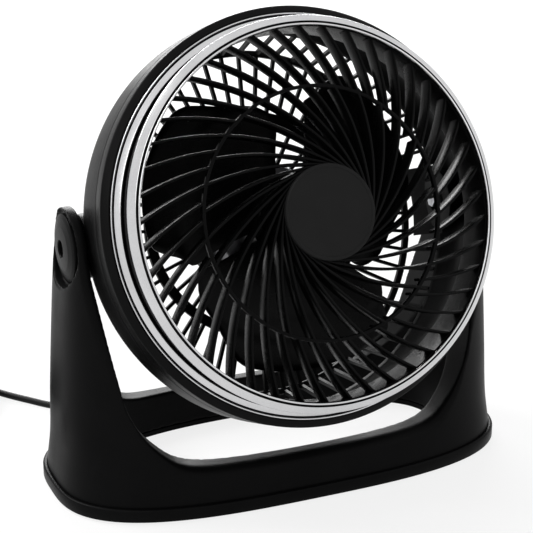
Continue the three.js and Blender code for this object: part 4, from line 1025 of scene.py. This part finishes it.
def rib_front(r):
    """How far forward the ribs' domed fronts are."""
    return HUB_FACE - DOME * (r / DOME_R) ** 2


def spiral_ribs(count, from_r, to_r, steps):
    return grown(SPIRAL, {
        "Count": count, "First Angle": math.radians(RIB_FIRST), "Tangent Radius": TANGENT_R,
        "From Radius": from_r, "To Radius": to_r, "Lead": LEAD, "Width": RIB_WIDTH,
        "Depth": RIB_DEPTH, "Hub Face": HUB_FACE, "Dome": DOME, "Rim Radius": DOME_R,
        "Edge Round": RIB_EDGE, "Steps": steps, "Finish": finishes["guard"]})


def guard_rim():
    """The guard's deep wall, with the flange that the bezel's lip holds."""
    top, flange = BEVEL_TOP - 0.9, RIM_BACK + FLANGE_WALL
    return turned([
        (GRILLE_BORE, RIM_BACK, 0.3), (FLANGE_R, RIM_BACK), (FLANGE_R, flange, 0.3),
        (GRILLE_R, flange), (GRILLE_R, BEVEL_TOP - 3.7), (GROOVE_R + 0.8, top),
        (RIM_MOUTH, top, 0.4)], 240)


def guard_ring():
    front = rib_front(RING_R) - 0.15
    half = RING_WIDTH / 2
    return hoop(RING_R - half, RING_R + half, front - RING_DEPTH, front, (0.4, 0.4, 0.5, 0.5), 180)


def guard_hub():
    front = rib_front(HUB_R + 1.5) - 0.1
    out, inside, wall = HUB_R - 0.2, HUB_R - 2.6, 3
    return turned([(0, front), (out, front, 0.5), (out, front - RIB_DEPTH, 0.5),
                   (inside, front - RIB_DEPTH, 0.3), (inside, front - wall), (0, front - wall)], 96)


def groove_shade_floor():
    """A black floor in the groove between the bevel and the lip: painted shade, a dark sheet where the
    groove lies only in shade.
    """
    low = BEVEL_TOP - 1.2
    return turned([(GROOVE_R - 0.6, low), (GROOVE_R + 0.8, low), (GROOVE_R + 0.7, low + 1.1, 0.1),
                   (GROOVE_R - 0.5, low + 1.5, 0.1)], 240)


# The black groove floor joined here is painted shade between the bright bevel and the lip.
guard = joined([
    guard_rim(), guard_ring(), guard_hub(), groove_shade_floor(),
    spiral_ribs(INNER_RIBS, TANGENT_R + 0.35, RING_R, 26),
    spiral_ribs(OUTER_RIBS, RING_R, RIM_MOUTH + 0.6, 14)])
piece("spiral_guard", guard, HEAD, "guard", "head", ["front_grille"], 40)

disc_back = rib_front(HUB_R + 0.5) + 0.3
disc_face = HUB_FACE + 2.4
hub_disc = turned([
    (0, disc_back), (HUB_R - 0.5, disc_back, 0.2), (HUB_R - 0.5, disc_face - 0.8, 0.5),
    (HUB_R - 1.2, disc_face, 0.5), (HUB_R - 2.4, disc_face, 0.3), (HUB_R - 2.8, disc_face - 0.45, 0.3),
    (14, disc_face - 0.2, 6), (0, disc_face - 0.1)], 128)
piece("hub_disc", hub_disc, HEAD, "disc", "head", ["hub_badge"])

# ------------------------------------------------------------------ head: rear basket
BASKET_RIBS, BASKET_RIB, BASKET_DEPTH = 56, 2.0, 3.0
BASKET_INSIDE, BASKET_CORNER = BASKET_BACK + BASKET_DEPTH + 0.2, BASKET_BACK + CORNER
MIDDLE_R, MIDDLE_WIDTH, PAN_R, PAN_BORE, PAN_WALL = 66.5, 6.0, 41.0, 7.0, 3.0
PAN_FACE = BASKET_BACK + PAN_WALL
SIDE_END, EAR_MIDDLE_R = -3.5, 111


def flat_rib(outline, width):
    """A rib in the plane through the axis, with softened edges, along +X."""
    return moved(prism(rounded(outline, 2), width), spin(90, "X"))


def back_rib(side_from):
    """From the middle ring out to the corner, and up the side as far as asked."""
    return flat_rib([
        (MIDDLE_R + 2, BASKET_BACK + 0.3, 0.3), (BASKET_R - 1.2, BASKET_BACK + 0.3, 1.4),
        (taper_r(BASKET_CORNER) - 0.3, BASKET_CORNER, 0.8), (taper_r(side_from) - 0.3, side_from),
        (taper_r(side_from) - BASKET_DEPTH, side_from), (BASKET_R - BASKET_DEPTH, BASKET_CORNER, 1.5),
        (BASKET_R - 5, BASKET_INSIDE, 1.5), (MIDDLE_R + 2, BASKET_INSIDE)], BASKET_RIB)


def basket_mesh():
    """Two arcs below the drum, the corner's hoop, the middle ring, the pan, ribs and spokes."""
    corner = BASKET_CORNER
    step = 360 / BASKET_RIBS
    free_gap = math.degrees(math.asin((EAR_HALF + 0.3) / taper_r(-10)))
    parts = []
    for start, stop in ((free_gap, 180 - free_gap), (180 + free_gap, 360 - free_gap)):
        parts.append(turned([
            (taper_r(-0.3) - DRUM_WALL, -0.3, 0.3), (taper_r(-0.3), -0.3, 0.4),
            (taper_r(SIDE_END), SIDE_END, 0.4), (taper_r(SIDE_END) - DRUM_WALL, SIDE_END, 0.4)],
            110, (start, stop)))
    parts.append(turned([
        (BASKET_R - CORNER, BASKET_BACK, 0.5), (BASKET_R - 1.5, BASKET_BACK, 1.0),
        (taper_r(corner), corner, 1.0), (BASKET_R - 3, corner, 0.5),
        (BASKET_R - CORNER, corner - 1)], 200))
    parts.append(hoop(MIDDLE_R - MIDDLE_WIDTH / 2, MIDDLE_R + MIDDLE_WIDTH / 2, BASKET_BACK,
                      corner - 0.4, (0.6, 0.6, 0.5, 0.5), 160))
    parts.append(hoop(PAN_BORE, PAN_R, BASKET_BACK, PAN_FACE, (0, 0.6, 0.5, 0), 96))
    for k in range(BASKET_RIBS):
        angle = step * (k + 0.5)
        beside_ear = abs(math.sin(math.radians(angle))) * EAR_MIDDLE_R < EAR_HALF + 1.5
        rib = back_rib(-EAR_DEPTH - 0.6 if beside_ear else SIDE_END + 0.5)
        parts.append(moved(rib, spin(angle)))
    spoke = flat_rib([
        (PAN_R - 2, BASKET_BACK + 0.3, 0.3), (MIDDLE_R - 2, BASKET_BACK + 0.3, 0.3),
        (MIDDLE_R - 2, BASKET_INSIDE, 0.3), (PAN_R - 2, BASKET_INSIDE, 0.3)], BASKET_RIB)
    parts.append(around(spoke, BASKET_RIBS // 2, step, "shell"))
    return joined(parts)


piece("rear_basket", basket_mesh(), HEAD, "shell", "head", ["rear_grille"], 40)

# ------------------------------------------------------------------ head: motor and switch
MOTOR_R, MOTOR_BORE, MOTOR_WALL = 34.0, 7.3, 1.4
MOTOR_BACK, MOTOR_FRONT = PAN_FACE + 0.3, PAN_FACE + 29.3


def motor_mesh():
    return turned([
        (MOTOR_BORE, MOTOR_BACK), (MOTOR_R, MOTOR_BACK, 2.2), (MOTOR_R, MOTOR_FRONT, 0.4),
        (MOTOR_R - MOTOR_WALL, MOTOR_FRONT), (MOTOR_R - MOTOR_WALL, MOTOR_BACK + 2),
        (MOTOR_BORE, MOTOR_BACK + 2)], 96)


def end_cap_mesh():
    back = MOTOR_FRONT + 0.3
    return turned([
        (MOTOR_BORE, back - 4), (MOTOR_BORE + 2, back - 4), (MOTOR_BORE + 2, back),
        (MOTOR_R, back, 0.3), (MOTOR_R - 1, back + 1.6, 0.7), (18, back + 2.2, 3),
        (MOTOR_BORE, back + 2.4, 0.4)], 96)


piece("motor_can", motor_mesh(), HEAD, "motor", "head", ["motor_shell"])
piece("motor_front_plate", end_cap_mesh(), HEAD, "motor", "head", ["motor_end_cap"])

COVER_RIM = BASKET_BACK - 0.3
COVER_BACK, COVER_WALL, COVER_BORE = COVER_RIM - 14.7, 2.2, 5.9
KNOB_BACK, KNOB_HEIGHT, KNOB_STEM_R, KNOB_FLUTES = COVER_BACK - 2.3, 14, 3.1, 24


def cover_mesh():
    """The cover behind the motor: a groove round the knob and a mark for each of its settings."""
    inside = COVER_BACK + COVER_WALL
    shell = turned([
        (COVER_BORE, COVER_BACK, 0.3), (19.0, COVER_BACK, 0.3), (20.0, COVER_BACK + 0.5, 0.3),
        (21.0, COVER_BACK, 0.3), (PAN_R - 7, COVER_BACK, 2.5), (PAN_R, COVER_BACK + 7, 3.0),
        (PAN_R, COVER_RIM, 0.4), (PAN_R - COVER_WALL, COVER_RIM),
        (PAN_R - COVER_WALL, COVER_BACK + 7.6), (PAN_R - 7.6, inside), (COVER_BORE, inside)], 128)
    marks = []
    for k, length in enumerate((1.0, 1.4, 1.9, 2.4)):
        mark = turned([(0, COVER_BACK + 0.2), (0.9, COVER_BACK + 0.2), (0.9, COVER_BACK - 0.35, 0.3),
                       (0, COVER_BACK - 0.4)], 16)
        stretch = Matrix.Diagonal((length, 1, 1, 1))
        marks.append(moved(mark, spin(90 - 45 * k) @ shift(24.5, 0, 0) @ stretch))
    return joined([shell, *marks])


def cover_screws():
    """Three screws from behind, through the cover into the pan."""
    head = moved(screw_head(3.1, 1.7, 1.0), shift(0, 0, COVER_BACK - 0.3) @ spin(180, "X"))
    shank = hoop(0, 1.5, COVER_BACK - 0.4, PAN_FACE - 0.5, (0, 0, 0.3, 0), 16)
    return around(moved(joined([head, shank]), shift(30, 0, 0)), 3, 30, "zinc")


def lofted_bar(outline, rows):
    """An outline stacked at (height, scale) rows, closed at both ends."""
    points = [(x * s, y * (0.9 + 0.1 * s), z) for z, s in rows for x, y in outline]
    return mesh_of("bar", points, band_faces(len(rows), len(outline)))


def knob_mesh():
    """Round speed knob: fluted skirt, a dished face and a grip bar across it."""
    face = KNOB_BACK - KNOB_HEIGHT
    skirt = turned([
        (0, face + 5.6), (12.2, face + 5.2, 1.5), (14.0, face + 5.0, 0.8), (15.5, face + 6.5, 0.8),
        (16.3, KNOB_BACK, 0.4), (KNOB_STEM_R, KNOB_BACK), (KNOB_STEM_R, KNOB_BACK + 16),
        (0, KNOB_BACK + 16)], 192)
    for point in skirt.vertices:
        x, y, z = point.co
        r = math.hypot(x, y)
        if face + 6 < z < KNOB_BACK - 0.2 and r > 14:
            wave = 0.28 * (1 - math.cos(KNOB_FLUTES * math.atan2(y, x)))
            point.co = (x * (r - wave) / r, y * (r - wave) / r, z)
    bar = []
    for half in range(2):
        for k in range(13):
            angle = math.pi * (half + k / 12)
            bar.append((3.2 * math.cos(angle), (9.5 if half == 0 else -9.5) + 3.2 * math.sin(angle)))
    grip = lofted_bar(bar, [(0, 0.86), (0.5, 0.96), (1.2, 1.0), (6.2, 1.04)])
    return joined([skirt, moved(grip, shift(0, 0, face))])


piece("back_cover", cover_mesh(), HEAD, "cover", "head", ["rear_cover"])
piece("cover_screw_set", cover_screws(), HEAD, "zinc", "head", numbered("cover_screw", 3))
piece("knob", knob_mesh(), HEAD, "cover", "knob", ["speed_knob"], 40)

# ------------------------------------------------------------------ impeller
IMP_BACK, IMP_DEPTH, IMP_HUB_R, IMP_R, IMP_BORE = 4.0, 30.0, 26.0, 89.2, 3.3
IMP_FRONT = IMP_BACK + IMP_DEPTH
BLADE_ROOT_R, BLADE_THICK, BLADE_FIRST, BLADE_HOLLOW = IMP_HUB_R - 1.2, 2.0, 26, 3.3
# share of the way out, then degrees from the blade's middle to its front and back edges
BLADE_EDGES = [(0, 45, 57), (0.24, 47, 60), (0.47, 49, 62), (0.64, 51, 54), (0.76, 45, 36),
               (0.87, 42, 28), (1, 38, 20)]
edge_curve = smooth_table(BLADE_EDGES, 12)


def blade_edges(out):
    """Degrees to the front and back edges, rounded off at the very tip."""
    trim = 3.0 * max(0, (out - 0.95) / 0.05) ** 2
    return [np.interp(out, edge_curve[0], edge) - trim for edge in edge_curve[1:]]


def blade_point(out, chord, face):
    """A point of a blade: share of the way out, share of the chord, and -1 or 1 for a face."""
    r = BLADE_ROOT_R + (IMP_R - BLADE_ROOT_R) * out
    ahead, behind = blade_edges(out)
    angle = math.radians((chord + 0.5) * (ahead + behind) - behind)
    front, back = IMP_FRONT - 2.4, IMP_BACK + 7 - 3 * out
    middle = back + (front - back) * (chord + 0.5) - BLADE_HOLLOW * (1 - 4 * chord * chord)
    edge = min(1, (0.5 - abs(chord)) * 22 + 0.2, (1 - out) * 22 + 0.3)
    z = middle + face * BLADE_THICK / 2 * edge ** 0.5
    return r * math.cos(angle), r * math.sin(angle), z


def blade_mesh():
    rows, columns = 26, 34
    chords = [-0.5 * math.cos(math.pi * j / columns) for j in range(columns + 1)]
    outs = [1 - (1 - i / rows) ** 1.3 for i in range(rows + 1)]
    points = [blade_point(o, c, f) for f in (-1, 1) for o in outs for c in chords]
    return mesh_of("blade", points, slab_faces(rows, columns))


def impeller_hub():
    front, sleeve_r = IMP_FRONT, 6.7
    return turned([
        (IMP_BORE, front), (IMP_HUB_R - 4, front, 1.5), (IMP_HUB_R, front - 4, 3),
        (IMP_HUB_R, IMP_BACK, 0.4), (IMP_HUB_R - 2, IMP_BACK, 0.3), (IMP_HUB_R - 2, front - 5.5),
        (IMP_HUB_R - 5.5, front - 3), (sleeve_r, front - 3), (sleeve_r, IMP_BACK + 6),
        (IMP_BORE, IMP_BACK + 6)], 96)


def spinner_mesh():
    back = IMP_FRONT + 0.3
    return turned([(0, back + 5.3), (IMP_BORE, back + 5.3), (IMP_BORE, back), (9, back, 0.5),
                   (9, back + 3, 1.2), (6.5, back + 6.8, 2), (0, back + 7.5)], 48)


rotor = joined([impeller_hub(), around(blade_mesh(), 3, BLADE_FIRST, "blade")])
piece("three_blade_impeller", rotor, HEAD, "blade", "fan_rotor", ["impeller"])
piece("spinner", spinner_mesh(), HEAD, "blade", "fan_rotor", ["impeller_nut"])

# ------------------------------------------------------------------ solids that stay as they are
kept = {
    "zinc": [*numbered("base_screw", 4), *numbered("motor_screw", 3), "pivot_nut_left",
             "pivot_nut_right", "bearing_rear", "bearing_front", "motor_shaft"],
    "motor": ["motor_rotor"],
    "winding": ["motor_stator"],
    "rubber": [*numbered("rubber_foot", 4), "friction_washer_left", "friction_washer_right"],
    "cover": ["switch_body"],
    "nickel": ["plug_pin_left", "plug_pin_right"],
}
for finish_name, names in kept.items():
    for node_name in names:
        mesh = frame["nodes"][node_name].data
        mesh.materials.clear()
        mesh.materials.append(finishes[finish_name])

# ------------------------------------------------------------------ floor, world and lamps
WHITE = (1, 1, 1, 1)
FLOOR_GLOW, WORLD_LIGHT = 0.82, 0.45


def seen_directly(tree):
    """1 for rays that see the surface itself or mirror it, 0 for those that gather light."""
    rays = tree.nodes.new("ShaderNodeLightPath")
    shown = [Value(tree, rays.outputs[name])
             for name in ("Is Camera Ray", "Is Glossy Ray", "Is Transmission Ray")]
    return (shown[0] + shown[1] + shown[2]).clipped()


floor_mesh = mesh_of("floor", [(-9, -9, 0), (9, -9, 0), (9, 9, 0), (-9, 9, 0)], [(0, 1, 2, 3)])
floor = linked("floor", floor_mesh)
paper = Finish("pale_floor", Base_Color=grey(0.9), Roughness=0.9, Specular_IOR_Level=0.0)
glow = add_node(paper.tree, "ShaderNodeEmission", {"Color": WHITE, "Strength": 1.0})
surface = add_node(paper.tree, "ShaderNodeMixShader", {
    0: seen_directly(paper.tree) * FLOOR_GLOW, 1: Value(paper.tree, paper.shader.outputs[0]), 2: glow})
feed(paper.tree, paper.tree.nodes["Material Output"].inputs["Surface"], surface)
floor_mesh.materials.append(paper.material)

world = bpy.data.worlds.new("studio")
bpy.context.scene.world = world
world.use_nodes = True
sky = world.node_tree
backdrop = sky.nodes["Background"]
feed(sky, backdrop.inputs["Color"], WHITE)
feed(sky, backdrop.inputs["Strength"], seen_directly(sky) * (1 - WORLD_LIGHT) + WORLD_LIGHT)


def lamp(name, place, aim, size, power):
    light = bpy.data.lights.new(name, "AREA")
    light.shape = "RECTANGLE"
    light.size, light.size_y = size
    light.energy = power
    holder = linked(name, light)
    holder.visible_camera = False
    aimed(holder, place, aim)


lamp("key", (-1.05, 0.95, 1.5), (0, 0, 0.15), (1.1, 1.1), 38)
lamp("front", (-1.3, -1.5, 1.7), (0, 0, 0.15), (1.0, 1.0), 9)
lamp("fill", (1.7, -1.2, 1.0), (0, 0, 0.15), (1.2, 1.2), 3.5)
lamp("back_light", (0.5, 1.65, 0.8), (0, 0, 0.1), (1.4, 0.8), 42)

bpy.context.scene.view_settings.view_transform = "Standard"
